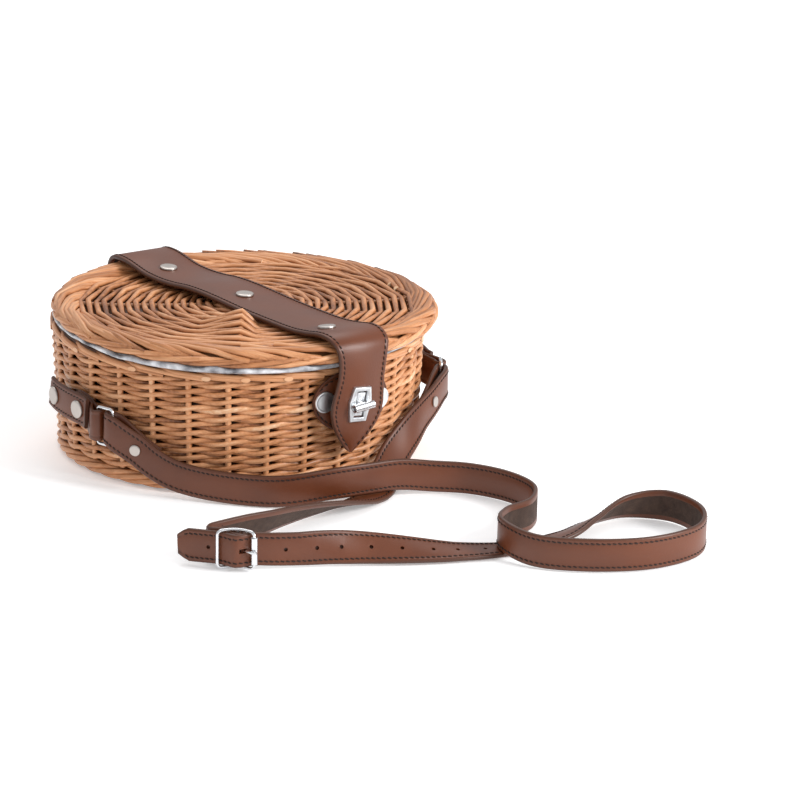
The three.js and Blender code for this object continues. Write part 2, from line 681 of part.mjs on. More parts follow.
// buckle: bowed wire frame with its middle bar, roller on the near bar, prong through a hole
const buckleHalf = buckleInside / 2 + buckleWire;
const buckleCorner = 2.4;
const buckleEnd = buckleSpan / 2;
const framePoints = [];
for (const [su, sz] of [[1, 1], [-1, 1], [-1, -1], [1, -1]]) {
  const turn = [[buckleEnd, buckleHalf - buckleCorner], [buckleEnd - 0.7, buckleHalf - 0.7],
    [buckleEnd - buckleCorner, buckleHalf]];
  const ordered = su * sz > 0 ? turn : turn.slice().reverse();
  for (const [u, z] of ordered) framePoints.push(inBuckle(su * u, -0.12 * (buckleEnd - u), sz * z));
  if (su * sz > 0) framePoints.push(inBuckle(0, -buckleBow, sz * buckleHalf));
  else for (const z of [-5, 0, 5]) framePoints.push(inBuckle(su * buckleEnd, 0, -sz * z));
}
const frameWire = wire(framePoints, buckleWire, true, 46);
const barFoot = inBuckle(0, -buckleBow, -buckleHalf);
const middleBar = rod(barFoot, inBuckle(0, -buckleBow, buckleHalf), buckleWire, 8);
add('buckle_frame', join([frameWire, middleBar]), silver);

const rollerOuter = rod(inBuckle(-buckleEnd, 0, -7.9), inBuckle(-buckleEnd, 0, 7.9), 2, 10);
const rollerInner = rod(inBuckle(-buckleEnd, 0, -10), inBuckle(-buckleEnd, 0, 10), buckleWire + 0.4, 10);
add('buckle_roller', cut(rollerOuter, [rollerInner]), silver);

const hook = buckleWire + gap + 1.15;
const prongPoints = [];
for (const a of [10, 70, 130, 190, 250]) {
  prongPoints.push(inBuckle(hook * Math.cos(degrees(a)), -buckleBow - hook * Math.sin(degrees(a))));
}
prongPoints.push(inBuckle(-3.6, -1.2), inBuckle(-6.6, 1.2), inBuckle(-9.4, 3.2), inBuckle(-12.4, 3.4));
add('buckle_prong', wire(prongPoints, 0.9, false, 18), silver);

const prongHole = new THREE.BoxGeometry(6.4, 7, 3.2);
prongHole.applyQuaternion(new THREE.Quaternion().setFromUnitVectors(new THREE.Vector3(1, 0, 0), buckleU));
const holeAt = inBuckle(-5.4, -0.6);
prongHole.translate(holeAt.x, holeAt.y, holeAt.z);
longCuts.push(bare(prongHole));
const prongSlot = new THREE.BoxGeometry(9, 9.4, 3.2);
prongSlot.applyQuaternion(new THREE.Quaternion().setFromUnitVectors(new THREE.Vector3(1, 0, 0), buckleU));
const slotAt = inBuckle(-0.6, -4.6);
prongSlot.translate(slotAt.x, slotAt.y, slotAt.z);

add('long_strap', cut(strip(longLine, strapThickness), longCuts), leather);
const shortCuts = [shankHole(shortSeat.at, shortSeat.out, 8), bare(prongSlot)];
add('short_strap', cut(strip(shortLine, strapThickness), shortCuts), leather);

export default group;
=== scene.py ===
import math

import bmesh
import bpy
import numpy as np
from mathutils import Matrix, Vector


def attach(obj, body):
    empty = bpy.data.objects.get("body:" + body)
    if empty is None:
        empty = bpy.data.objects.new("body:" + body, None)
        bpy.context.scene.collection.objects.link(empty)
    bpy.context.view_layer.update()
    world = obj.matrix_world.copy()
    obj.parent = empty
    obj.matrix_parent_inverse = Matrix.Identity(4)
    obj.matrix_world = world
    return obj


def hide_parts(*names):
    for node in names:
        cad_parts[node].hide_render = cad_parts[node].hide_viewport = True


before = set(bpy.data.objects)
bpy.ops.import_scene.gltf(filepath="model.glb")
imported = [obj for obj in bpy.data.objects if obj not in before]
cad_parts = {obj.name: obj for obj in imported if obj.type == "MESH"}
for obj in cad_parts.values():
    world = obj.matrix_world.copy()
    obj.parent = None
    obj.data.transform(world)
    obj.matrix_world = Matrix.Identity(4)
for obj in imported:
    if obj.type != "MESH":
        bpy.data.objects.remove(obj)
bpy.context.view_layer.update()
mm = 0.001
chance = np.random.default_rng(11)
print("frame loaded,", len(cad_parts), "nodes")


# shader groups and finishes


def addNode(tree, kind, x, y, **settings):
    made = tree.nodes.new(kind)
    made.location = (x, y)
    for key, value in settings.items():
        setattr(made, key, value)
    return made


def newGroup(name, inputs, output):
    tree = bpy.data.node_groups.new(name, "ShaderNodeTree")
    tree.interface.new_socket(name="Vector", in_out="INPUT", socket_type="NodeSocketVector")
    for label, default in inputs.items():
        socket = tree.interface.new_socket(name=label, in_out="INPUT", socket_type="NodeSocketFloat")
        socket.default_value = default
    tree.interface.new_socket(name=output, in_out="OUTPUT", socket_type="NodeSocketFloat")
    return tree, addNode(tree, "NodeGroupInput", -700, 0), addNode(tree, "NodeGroupOutput", 500, 0)


def makeMottle():  # slow uneven patches, 0 to 1
    tree, given, result = newGroup("mottle", {"Scale": 20.0, "Contrast": 1.0}, "Mask")
    noise = addNode(tree, "ShaderNodeTexNoise", -450, 0)
    noise.inputs["Detail"].default_value = 4.0
    centred = addNode(tree, "ShaderNodeMath", -220, 0, operation="SUBTRACT")
    centred.inputs[1].default_value = 0.5
    spread = addNode(tree, "ShaderNodeMath", 0, 0, operation="MULTIPLY_ADD", use_clamp=True)
    spread.inputs[2].default_value = 0.5
    for key in ("Vector", "Scale"):
        tree.links.new(given.outputs[key], noise.inputs[key])
    tree.links.new(noise.outputs["Fac"], centred.inputs[0])
    tree.links.new(centred.outputs[0], spread.inputs[0])
    tree.links.new(given.outputs["Contrast"], spread.inputs[1])
    tree.links.new(spread.outputs[0], result.inputs["Mask"])
    return tree


def makeHideGrain():  # small pebbles with creases between them
    tree, given, result = newGroup("hideGrain", {"Scale": 900.0}, "Height")
    cells = addNode(tree, "ShaderNodeTexVoronoi", -450, 120)
    fine = addNode(tree, "ShaderNodeTexNoise", -450, -160)
    fine.inputs["Detail"].default_value = 3.0
    both = addNode(tree, "ShaderNodeMath", -120, 0, operation="MULTIPLY_ADD")
    both.inputs[1].default_value = 0.7
    for texture in (cells, fine):
        for key in ("Vector", "Scale"):
            tree.links.new(given.outputs[key], texture.inputs[key])
    tree.links.new(cells.outputs["Distance"], both.inputs[0])
    tree.links.new(fine.outputs["Fac"], both.inputs[2])
    tree.links.new(both.outputs[0], result.inputs["Height"])
    return tree


mottle = makeMottle()
hideGrain = makeHideGrain()


def newMaterial(name):
    made = bpy.data.materials.new(name)
    made.use_nodes = True
    tree = made.node_tree
    return made, tree, tree.nodes["Principled BSDF"]


def placeGroup(tree, group, x, y, vector, **values):
    made = addNode(tree, "ShaderNodeGroup", x, y, node_tree=group)
    tree.links.new(vector, made.inputs["Vector"])
    for key, value in values.items():
        made.inputs[key].default_value = value
    return made.outputs[0]


def blendColours(tree, x, y, mask, first, second):
    made = addNode(tree, "ShaderNodeMix", x, y, data_type="RGBA")
    for key, value in (("Factor", mask), ("A", first), ("B", second)):
        if isinstance(value, bpy.types.NodeSocket):
            tree.links.new(value, made.inputs[key])
        else:
            made.inputs[key].default_value = value
    return made.outputs["Result"]


def spreadValue(tree, x, y, value, low, high):
    made = addNode(tree, "ShaderNodeMapRange", x, y)
    made.inputs["To Min"].default_value = low
    made.inputs["To Max"].default_value = high
    tree.links.new(value, made.inputs["Value"])
    return made.outputs["Result"]


def addUp(tree, x, y, first, second, clamp=False):
    made = addNode(tree, "ShaderNodeMath", x, y, operation="ADD", use_clamp=clamp)
    tree.links.new(first, made.inputs[0])
    tree.links.new(second, made.inputs[1])
    return made.outputs[0]


def addBump(tree, bsdf, height, strength, distance):
    made = addNode(tree, "ShaderNodeBump", -200, -400)
    made.inputs["Strength"].default_value = strength
    made.inputs["Distance"].default_value = distance
    tree.links.new(height, made.inputs["Height"])
    tree.links.new(made.outputs["Normal"], bsdf.inputs["Normal"])


def attribute(tree, name, x, y):
    return addNode(tree, "ShaderNodeAttribute", x, y, attribute_name=name).outputs["Fac"]


def objectPlace(tree, x, y):
    return addNode(tree, "ShaderNodeTexCoord", x, y).outputs["Object"]


wickerFinish = {
    "tones": [  # place on the ramp, colour: shaded rod to pale cut end
        (0.0, (0.028, 0.009, 0.004, 1)),
        (0.25, (0.25, 0.085, 0.026, 1)),
        (0.5, (0.54, 0.225, 0.090, 1)),
        (0.75, (0.72, 0.36, 0.175, 1)),
        (1.0, (0.88, 0.64, 0.42, 1)),
    ],
    "fibres": (45.0, 7.0, 31.0),  # along the rod, round it, from rod to rod
    "streak": 0.17,
    "streaks": {"Scale": 1.0, "Contrast": 1.6},
    "patch": 0.09,
    "patches": {"Scale": 55.0, "Contrast": 1.2},
    # painted shade: the rods' flanks and the gaps between rods are darkened
    "flankShade": {"From Min": 0.12, "From Max": 0.75, "To Max": -0.42},  # on the flanks, between rods
    "roughness": (0.30, 0.50),
    "bump": (0.25, 0.0004),
}


def wickerMaterial():
    s = wickerFinish
    made, tree, bsdf = newMaterial("peeled_rod")
    tone = attribute(tree, "tone", -1300, 200)
    fibre = addNode(tree, "ShaderNodeCombineXYZ", -1100, -60)
    tree.links.new(attribute(tree, "along", -1300, 0), fibre.inputs["X"])
    tree.links.new(attribute(tree, "around", -1300, -200), fibre.inputs["Y"])
    tree.links.new(tone, fibre.inputs["Z"])
    stretched = addNode(tree, "ShaderNodeVectorMath", -950, -60, operation="MULTIPLY")
    stretched.inputs[1].default_value = s["fibres"]
    tree.links.new(fibre.outputs[0], stretched.inputs[0])
    streaks = placeGroup(tree, mottle, -750, -60, stretched.outputs[0], **s["streaks"])
    patches = placeGroup(tree, mottle, -750, -300, objectPlace(tree, -1300, -420), **s["patches"])
    streakShift = spreadValue(tree, -560, -60, streaks, -s["streak"], s["streak"])
    patchShift = spreadValue(tree, -560, -300, patches, -s["patch"], s["patch"])
    # painted shade on each rod's flanks and underside, read from the edge attribute
    flankShade = addNode(tree, "ShaderNodeMapRange", -560, 320, interpolation_type="SMOOTHSTEP")
    for key, value in s["flankShade"].items():
        flankShade.inputs[key].default_value = value
    tree.links.new(attribute(tree, "edge", -1300, 400), flankShade.inputs["Value"])
    uneven = addUp(tree, -400, -60, addUp(tree, -400, 100, tone, streakShift), patchShift)
    shade = addUp(tree, -400, 260, uneven, flankShade.outputs["Result"], clamp=True)
    ramp = addNode(tree, "ShaderNodeValToRGB", -240, 200)
    stops = ramp.color_ramp.elements
    for number, (where, colour) in enumerate(s["tones"]):
        stop = stops[number] if number < 2 else stops.new(where)
        stop.position = where
        stop.color = colour
    tree.links.new(shade, ramp.inputs["Fac"])
    tree.links.new(ramp.outputs["Color"], bsdf.inputs["Base Color"])
    tree.links.new(spreadValue(tree, -200, -200, streaks, *s["roughness"]), bsdf.inputs["Roughness"])
    addBump(tree, bsdf, streaks, *s["bump"])
    return made


cutEdge = (0.066, 0.022, 0.010, 1)  # colour of the leather's cut edges


def metalFinish(colour, roughness):
    dull = tuple(0.86 * part for part in colour[:3]) + (1,)
    patches = {"Scale": 350.0, "Contrast": 1.5}
    return {"patches": patches, "deep": dull, "lit": colour, "roughness": roughness, "metallic": 1.0}


finishes = {  # grain: shader group, scale, strength and depth of the bump
    "smooth_leather": {
        "patches": {"Scale": 30.0, "Contrast": 1.3},
        "deep": (0.100, 0.025, 0.008, 1), "lit": (0.165, 0.043, 0.013, 1), "edge": cutEdge,
        "roughness": (0.36, 0.48), "grain": (hideGrain, 950.0, 0.12, 0.0003),
    },
    "rough_leather": {
        "patches": {"Scale": 180.0, "Contrast": 1.8},
        "deep": (0.030, 0.016, 0.011, 1), "lit": (0.080, 0.046, 0.032, 1), "edge": cutEdge,
        "roughness": (0.86, 0.86), "grain": (hideGrain, 2100.0, 0.45, 0.0004),
    },
    "waxed_thread": {
        "patches": {"Scale": 1400.0, "Contrast": 2.0},
        "deep": (0.009, 0.004, 0.0025, 1), "lit": (0.036, 0.015, 0.009, 1),
        "roughness": (0.8, 0.8),
    },
    "satin_lining": {
        "patches": {"Scale": 105.0, "Contrast": 2.6},
        "deep": (0.12, 0.12, 0.14, 1), "lit": (0.90, 0.91, 0.94, 1), "sheen": 0.25,
        "roughness": (0.34, 0.34), "grain": (mottle, 900.0, 0.2, 0.0003),
    },
    "polished_chrome": metalFinish((0.83, 0.84, 0.86, 1), (0.18, 0.28)),
    "satin_steel": metalFinish((0.80, 0.82, 0.84, 1), (0.32, 0.42)),
    "rivet_nickel": metalFinish((0.56, 0.51, 0.47, 1), (0.30, 0.44)),
}


def mottledMaterial(name):
    s = finishes[name]
    made, tree, bsdf = newMaterial(name)
    place = objectPlace(tree, -1000, 0)
    patches = placeGroup(tree, mottle, -750, 150, place, **s["patches"])
    colour = blendColours(tree, -480, 150, patches, s["deep"], s["lit"])
    if "edge" in s:
        colour = blendColours(tree, -260, 150, attribute(tree, "edge", -750, 350), colour, s["edge"])
    tree.links.new(colour, bsdf.inputs["Base Color"])
    tree.links.new(spreadValue(tree, -260, -100, patches, *s["roughness"]), bsdf.inputs["Roughness"])
    if "grain" in s:
        group, scale, strength, distance = s["grain"]
        addBump(tree, bsdf, placeGroup(tree, group, -750, -250, place, Scale=scale), strength, distance)
    bsdf.inputs["Metallic"].default_value = s.get("metallic", 0.0)
    bsdf.inputs["Sheen Weight"].default_value = s.get("sheen", 0.0)
    return made


wicker = wickerMaterial()
leather, flesh, thread, satin, chrome, satinSteel, nickel = (mottledMaterial(name) for name in finishes)
print("materials made")


# mesh helpers


def unit(vectors):
    return vectors / np.linalg.norm(vectors, axis=-1, keepdims=True)


def polar(radius, degrees, height):
    angle = np.radians(degrees)
    return np.stack(np.broadcast_arrays(radius * np.cos(angle), radius * np.sin(angle), height), -1) * mm


def outward(degrees):
    return polar(1, degrees, 0) / mm


def allRound(steps):
    return 360 * np.arange(steps) / steps


def smoothStep(low, high, value):
    t = np.clip((value - low) / (high - low), 0, 1)
    return t * t * (3 - 2 * t)


def walkedAlong(line):  # distance from the first point to each one
    return np.concatenate([[0], np.cumsum(np.linalg.norm(np.diff(line, axis=0), axis=1))])


def smoothLine(points, step):  # centripetal Catmull-Rom; returns points and each one's place in the rows
    points = np.asarray(points, float)
    padded = np.vstack([2 * points[0] - points[1], points, 2 * points[-1] - points[-2]])
    made = []
    places = []
    for k in range(len(points) - 1):
        a, b, c, d = padded[k:k + 4]
        before, span, after = (np.linalg.norm(q - p) ** 0.5 for p, q in ((a, b), (b, c), (c, d)))
        start = ((b - a) / before - (c - a) / (before + span) + (c - b) / span) * span
        end = ((c - b) / span - (d - b) / (span + after) + (d - c) / after) * span
        count = max(2, round(np.linalg.norm(c - b) / step))
        t = (np.arange(count) / count)[:, None]
        bend = 3 * (c - b) - 2 * start - end
        back = 2 * (b - c) + start + end
        made.append(b + start * t + bend * t ** 2 + back * t ** 3)
        places.append(k + t[:, 0])
    made.append(points[-1:])
    places.append(np.array([len(points) - 1.0]))
    return np.vstack(made), np.concatenate(places)


class PieceMesh:  # grids of points joined into one mesh, with the attributes the finishes read
    def __init__(self):
        self.points = []
        self.faces = []
        self.slots = []
        self.values = {"tone": [], "along": [], "around": [], "edge": []}
        self.count = 0

    def addPoints(self, points, **values):
        rows, columns = points.shape[:2]
        self.points.append(points.reshape(-1, 3))
        for key, parts in self.values.items():
            filled = np.broadcast_to(values.get(key, 0.0), (rows, columns))
            parts.append(np.array(filled, float).reshape(-1))
        index = self.count + np.arange(rows * columns).reshape(rows, columns)
        self.count += rows * columns
        return index

    def addGrid(self, grid, loop=False, slots=None, tone=0.5, edge=0.0, capTone=None, **fibres):
        slots = [0] * grid.shape[1] if slots is None else slots
        index = self.addPoints(grid, tone=tone, edge=edge, **fibres)
        ahead = np.roll(index, -1, axis=0) if loop else index[1:]
        here = index if loop else index[:-1]
        quads = np.stack([here, np.roll(here, -1, 1), np.roll(ahead, -1, 1), ahead], -1)
        self.faces.extend(quads.reshape(-1, 4).tolist())
        self.slots.extend(slots * here.shape[0])
        if loop:
            return
        # a cap takes the darkest edge value: the cut-edge colour on leather, painted shade on wicker rods
        capEdge = np.max(edge) if capTone is None else 0.0
        capTone = np.mean(tone) if capTone is None else capTone
        for ring, turn in ((grid[:1], -1), (grid[-1:], 1)):
            cap = self.addPoints(ring, tone=capTone, edge=capEdge)
            self.faces.append(cap[0].tolist()[::turn])
            self.slots.append(slots[0])

    def addRod(self, line, facing, radius, tone=0.5, loop=False, sides=8, flat=1.0, slot=0, capTone=None,
               dark=1.0):
        line = np.asarray(line, float)
        tangent = unit(np.roll(line, -1, 0) - np.roll(line, 1, 0) if loop else np.gradient(line, axis=0))
        facing = np.broadcast_to(np.asarray(facing, float), line.shape)
        out = unit(facing - tangent * np.sum(facing * tangent, 1)[:, None])
        side = np.cross(tangent, out)
        angles = np.pi + 2 * np.pi * np.arange(sides) / sides
        ring = np.cos(angles)[:, None] * flat * out[:, None] + np.sin(angles)[:, None] * side[:, None]
        radius, tone = (np.broadcast_to(np.asarray(value, float), (len(line),)) for value in (radius, tone))
        # edge runs from 0 on a rod's outer face to dark on its inner face; the wicker finish turns it into
        # painted shade
        self.addGrid(
            line[:, None] + radius[:, None, None] * ring, loop, slots=[slot] * sides, tone=tone[:, None],
            along=walkedAlong(line)[:, None], around=np.arange(sides) / sides,
            edge=dark * (0.5 - 0.5 * np.cos(angles)), capTone=capTone,
        )

    def build(self, name):
        mesh = bpy.data.meshes.new(name)
        mesh.from_pydata(np.concatenate(self.points), [], self.faces)
        mesh.polygons.foreach_set("material_index", np.array(self.slots, np.int32))
        mesh.polygons.foreach_set("use_smooth", np.ones(len(mesh.polygons), bool))
        for key, parts in self.values.items():
            layer = mesh.attributes.new(key, "FLOAT", "POINT")
            layer.data.foreach_set("value", np.concatenate(parts).astype(np.float32))
        mesh.update()
        return mesh


def meshFrom(shape, name):
    mesh = bpy.data.meshes.new(name)
    shape.to_mesh(mesh)
    shape.free()
    return mesh


def linkObject(name, data):
    made = bpy.data.objects.new(name, data)
    bpy.context.scene.collection.objects.link(made)
    return made


def addPiece(name, mesh, materials, replaced, body="bag"):
    for material in materials:
        mesh.materials.append(material)
    piece = linkObject(name, mesh)
    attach(piece, body)
    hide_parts(*replaced)
    return piece


# camera, floor and light

photoCamera = {
    "azimuth": -38.5, "elevation": 16.25, "roll": 1.1, "distance": 2.2, "lens": 156.5, "sensor": 36,
    "aside": 0.10247, "raised": 0.02593,
}


def addCamera():
    s = photoCamera
    a, e, r = (math.radians(s[key]) for key in ("azimuth", "elevation", "roll"))
    back = Vector((math.sin(a) * math.cos(e), -math.cos(a) * math.cos(e), math.sin(e)))
    right = Vector((math.cos(a), math.sin(a), 0))
    up = back.cross(right)
    turnedRight = right * math.cos(r) + up * math.sin(r)
    turnedUp = up * math.cos(r) - right * math.sin(r)
    data = bpy.data.cameras.new("photo_camera")
    data.lens = s["lens"]
    data.sensor_width = s["sensor"]
    made = linkObject("photo_camera", data)
    made.matrix_world = Matrix((turnedRight, turnedUp, back)).transposed().to_4x4()
    made.location = turnedRight * s["aside"] + turnedUp * s["raised"] + back * s["distance"]
    bpy.context.scene.camera = made


studio = {
    "lamps": {
        "key": {"place": (0.85, -1.65, 0.95), "size": 0.7, "power": 34},
        "fill": {"place": (-1.3, -1.5, 1.3), "size": 1.6, "power": 1.6},
        "top": {"place": (0.5, 0.9, 1.9), "size": 1.4, "power": 15},
    },
    "aim": (0, -0.05, 0.04),
    "world": {"Color": (0.97, 0.98, 1.0, 1), "Strength": 0.6},
    "floor": {
        "Base Color": (0.92, 0.92, 0.92, 1), "Roughness": 0.9,
        "Emission Color": (1, 1, 1, 1), "Emission Strength": 0.3,
    },
    "floorRadius": 6,
    "floorDrop": 0.0005,
}


def addStudio():
    for name, lamp in studio["lamps"].items():
        data = bpy.data.lights.new(name, "AREA")
        data.energy = lamp["power"]
        data.size = lamp["size"]
        made = linkObject(name, data)
        made.location = lamp["place"]
        made.rotation_euler = (Vector(studio["aim"]) - made.location).to_track_quat("-Z", "Y").to_euler()
    world = bpy.data.worlds.new("studio")
    world.use_nodes = True
    for key, value in studio["world"].items():
        world.node_tree.nodes["Background"].inputs[key].default_value = value
    bpy.context.scene.world = world
    bpy.context.scene.view_settings.view_transform = "Standard"
    shape = bmesh.new()
    bmesh.ops.create_circle(shape, cap_ends=True, segments=64, radius=studio["floorRadius"])
    paint, tree, bsdf = newMaterial("pale_floor")
    for key, value in studio["floor"].items():
        bsdf.inputs[key].default_value = value
    floor = linkObject("floor", meshFrom(shape, "floor"))
    floor.data.materials.append(paint)
    floor.location.z = -studio["floorDrop"]


addCamera()
addStudio()
print("camera and studio set")


# leather strips

stripDetail = {  # millimetres
    "edge": 0.7, "inset": 2.7, "groove": 0.25, "grooveWidth": 0.6, "fullFrom": 5, "least": 0.15,
    "stitch": 1.8, "pitch": 3.1, "thread": 0.46, "slant": 0.3, "ends": (3, 4), "room": 2.5, "backSunk": 0.4,
}


def rowStations(rows, step):  # rows of x, y, z, lean; lean 0 stands the strip on edge, 90 lays it flat
    rows = np.asarray(rows, float)
    line, places = smoothLine(rows[:, :3], step)
    ends = rows[[0, *range(len(rows)), -1], :3]
    along = unit(ends[2:] - ends[:-2])
    up = np.array([0, 0, 1.0])
    upright = unit(up - along * (along @ up)[:, None])
    side = np.cross(along, upright)
    lean = np.radians(rows[:, 3])[:, None]
    rowAcross = upright * np.cos(lean) + side * np.sin(lean)
    first = np.minimum(places.astype(int), len(rows) - 2)
    part = (places - first)[:, None]
    across = rowAcross[first] * (1 - part) + rowAcross[first + 1] * part
    return line, across, places


def stripFrame(line, across):
    along = unit(np.gradient(line, axis=0))
    across = unit(across - along * np.sum(across * along, 1)[:, None])
    return across, np.cross(along, across)


def addStrip(parts, line, across, half, thickness, smoothSide):
    s = stripDetail
    across, face = stripFrame(line, across)
    face = face * smoothSide
    t = thickness / 2
    small = np.clip(half / (s["fullFrom"] * mm), s["least"], 1) * mm  # finer towards a point
    e = np.minimum(s["edge"] * small, t * 0.8)
    g = s["inset"] * small
    w = s["grooveWidth"] * small
    sunk = t - s["groove"] * small
    top = np.full_like(half, t)
    outline = [  # across, out of the smooth side, darkness of the cut edge
        (half, e - t, 1), (half, t - e, 1), (half - e, top, 0.45),
        (half - g + w, top, 0), (half - g, sunk, 0.35), (half - g - w, top, 0),
        (0 * half, top, 0),
        (g + w - half, top, 0), (g - half, sunk, 0.35), (g - w - half, top, 0),
        (e - half, top, 0.45), (-half, t - e, 1), (-half, e - t, 1),
        (e - half, -top, 0.4), (g + w - half, -top, 0.1), (half - g - w, -top, 0.1), (half - e, -top, 0.4),
    ]
    us, vs = (np.stack([row[k] for row in outline], 1)[:, :, None] for k in (0, 1))
    edge = np.array([row[2] for row in outline])[None, :]
    grid = line[:, None] + us * across[:, None] + vs * face[:, None]
    slots = [0] * 14 + [1] + [0] * 2  # the back is rough between its margins
    if smoothSide < 0:
        grid, edge, slots = grid[:, ::-1], edge[:, ::-1], [0, 1] + [0] * 15
    parts.addGrid(grid, slots=slots, edge=edge)
    return across, face, half - g


def addStitches(parts, line, across, face, room, lift):
    s = stripDetail
    walked = walkedAlong(line)
    shape = np.array([0, 0.25, 0.75, 1]) * s["stitch"] * mm
    sink = np.array([-0.25, 0.02, 0.02, -0.25]) * mm
    slant = np.array([1, 0.5, -0.5, -1]) * s["slant"] * mm
    for start in np.arange(s["ends"][0] * mm, walked[-1] - s["ends"][1] * mm, s["pitch"] * mm):
        marks = start + shape
        at, right, out = (
            np.stack([np.interp(marks, walked, column) for column in values.T], 1)
            for values in (line, across, face)
        )
        aside = np.interp(marks, walked, room)
        if aside.min() < s["room"] * mm:
            continue
        for sign, way in ((1, 1), (-1, 1), (1, -1), (-1, -1)):
            deep = lift + sink - s["backSunk"] * mm * (way < 0)
            seam = at + right * (sign * aside + slant)[:, None] + way * out * deep[:, None]
            parts.addRod(seam, way * out, s["thread"] * mm, sides=5, slot=2)


def punch(mesh, cutter):  # cuts the holes out of a welded strip
    piece = linkObject("strip", mesh)
    modifier = piece.modifiers.new("holes", "BOOLEAN")
    modifier.object = cutter
    modifier.solver = "EXACT"
    bpy.context.view_layer.update()
    cut = bpy.data.meshes.new_from_object(piece.evaluated_get(bpy.context.evaluated_depsgraph_get()))
    bpy.data.objects.remove(piece)
    bpy.data.objects.remove(cutter)
    return cut


def stripPiece(name, line, across, half, thickness, smoothSide=1, stitches=True, cutter=None):
    half = np.broadcast_to(np.asarray(half, float), (len(line),)) * mm
    parts = PieceMesh()
    square, face, room = addStrip(parts, line, across, half, thickness * mm, smoothSide)
    mesh = parts.build(name)
    shape = bmesh.new()
    shape.from_mesh(mesh)
    bmesh.ops.remove_doubles(shape, verts=shape.verts, dist=1e-6)
    shape.to_mesh(mesh)
    shape.free()
    if cutter:
        mesh = punch(mesh, cutter)
    if stitches:
        seams = PieceMesh()
        addStitches(seams, line, square, face, room, thickness / 2 * mm)
        shape = bmesh.new()
        shape.from_mesh(mesh)
        shape.from_mesh(seams.build(name + "_seams"))
        shape.to_mesh(mesh)
        shape.free()
    mesh.set_sharp_from_angle(angle=math.radians(50))
    return addPiece(name + "_leather", mesh, [leather, flesh, thread], [name])


# rows in millimetres and degrees, the same route as the solids

sideRings = {  # the ring's middle, the way round to its tab, extra room for the loop, heights of the tab
    "left": {
        "angle": -166.4, "radius": 122.8, "height": 37.2, "sign": -1, "shift": 0,
        "tab": (42, 43, 43.6, 44.4, 46),
    },
    "right": {
        "angle": -35.3, "radius": 127.4, "height": 42.2, "sign": 1, "shift": 3,
        "tab": (44, 45, 45, 45, 45),
    },
}
ringShape = {
    "wire": 1.1, "span": 12, "inside": 20.6, "corner": 2, "alongEnds": (2, 0, -2), "alongSides": (5, 0, -5),
}


def barAngle(side, towards):  # 1 for the bar that the tab holds, -1 for the strap's bar
    ring = sideRings[side]
    return ring["angle"] + towards * ring["sign"] * math.degrees(ringShape["span"] / 2 / ring["radius"])


buckle = {
    "at": np.array([-146.8, -202.6, 12.05]),
    "u": unit(np.array([-0.712, 0.702, 0])),
    "n": unit(np.array([-0.702, -0.712, 0])),
    "wire": 0.95, "span": 21, "inside": 19.9, "bow": 4.2, "corner": 2.4,
    "alongEnds": (5, 2.5, 0, -2.5, -5), "alongSides": (6, 3, 0, -3, -6),
    "roller": [  # radius and height
        (1.35, -7.7), (1.5, -7.9), (1.85, -7.9), (2, -7.7),
        (2, 7.7), (1.85, 7.9), (1.5, 7.9), (1.35, 7.7), (1.35, -7.7),
    ],
    "prong": 0.9, "hookOut": 1.5, "hook": (10, 40, 70, 100, 130, 160, 190, 220, 250),
    "prongRun": ((-3.6, -1.2), (-6.6, 1.2), (-9.4, 3.2), (-12.4, 3.4)),
}


def inBuckle(u, n, z=0):  # u towards the strap's tip, n out of its face
    return buckle["at"] + u * buckle["u"] + n * buckle["n"] + np.array([0, 0, z])


def wallRow(radius, degrees, height, lean=0):
    return [*(polar(radius, degrees, height) / mm), lean]


def buckleRow(u, n, lean):
    return [*inBuckle(u, n), lean]


leftBar = barAngle("left", -1)
rightBar = barAngle("right", -1)
longRoute = [
    wallRow(119.6, -150.3, 20.2), wallRow(119.5, -155.6, 26.2), wallRow(119.5, -159.4, 31.6),
    wallRow(119.7, leftBar + 0.3, 36.6), wallRow(120.6, leftBar - 1.5, 37.2),
    wallRow(122.8, leftBar - 2.2, 37.2), wallRow(125.2, leftBar - 1.5, 37.1),
    wallRow(126, leftBar + 0.5, 36), wallRow(124.9, -159.6, 31.6), wallRow(122.6, -155.6, 26.6),
    wallRow(122.5, -151.2, 20.8), wallRow(122.6, -146.6, 16), wallRow(123.1, -142, 13),
    [-83.3, -97, 10.4, 0], [-59, -124.6, 10.1, 0], [-27, -139, 13.2, 0], [-6, -143, 13.4, 0],
    [14, -147, 13.4, 0], [34, -155, 10.8, 0], [50.2, -168.6, 10, 0], [59.4, -194, 10, 0],
    [56.2, -222, 10, 0], [37, -242, 10, 0], [10, -251.5, 11.6, 0], [-7, -268, 13.2, 0],
    [-6, -293, 10.4, 0], [12, -317, 10, 0], [48, -337, 10, 0], [85, -334.6, 10, 0],
    [110, -309, 10, 0], [112.5, -277, 10.1, -6], [92, -262.2, 9.3, -32], [61, -266.2, 6.6, -60],
    [40, -270.6, 4.2, -76], [16, -268.6, 2, -88], [-4, -264.2, 1.8, -91], [-30, -257, 3.7, -101],
    [-60, -243.6, 7.1, -125], [-81.5, -232, 9.2, -144], [-98, -225, 10.6, -163], [-115, -218.6, 11.2, -178],
    [-128, -212.6, 11.8, -180], buckleRow(-10.5, -4.1, -180), buckleRow(-5.2, -0.8, -180),
    buckleRow(0, 2.2, -180), buckleRow(5.2, -0.8, -180), buckleRow(10.5, -3.2, -180),
    [-156.6, -185.4, 11.7, -180], [-164.5, -171.5, 10.9, -180],
]
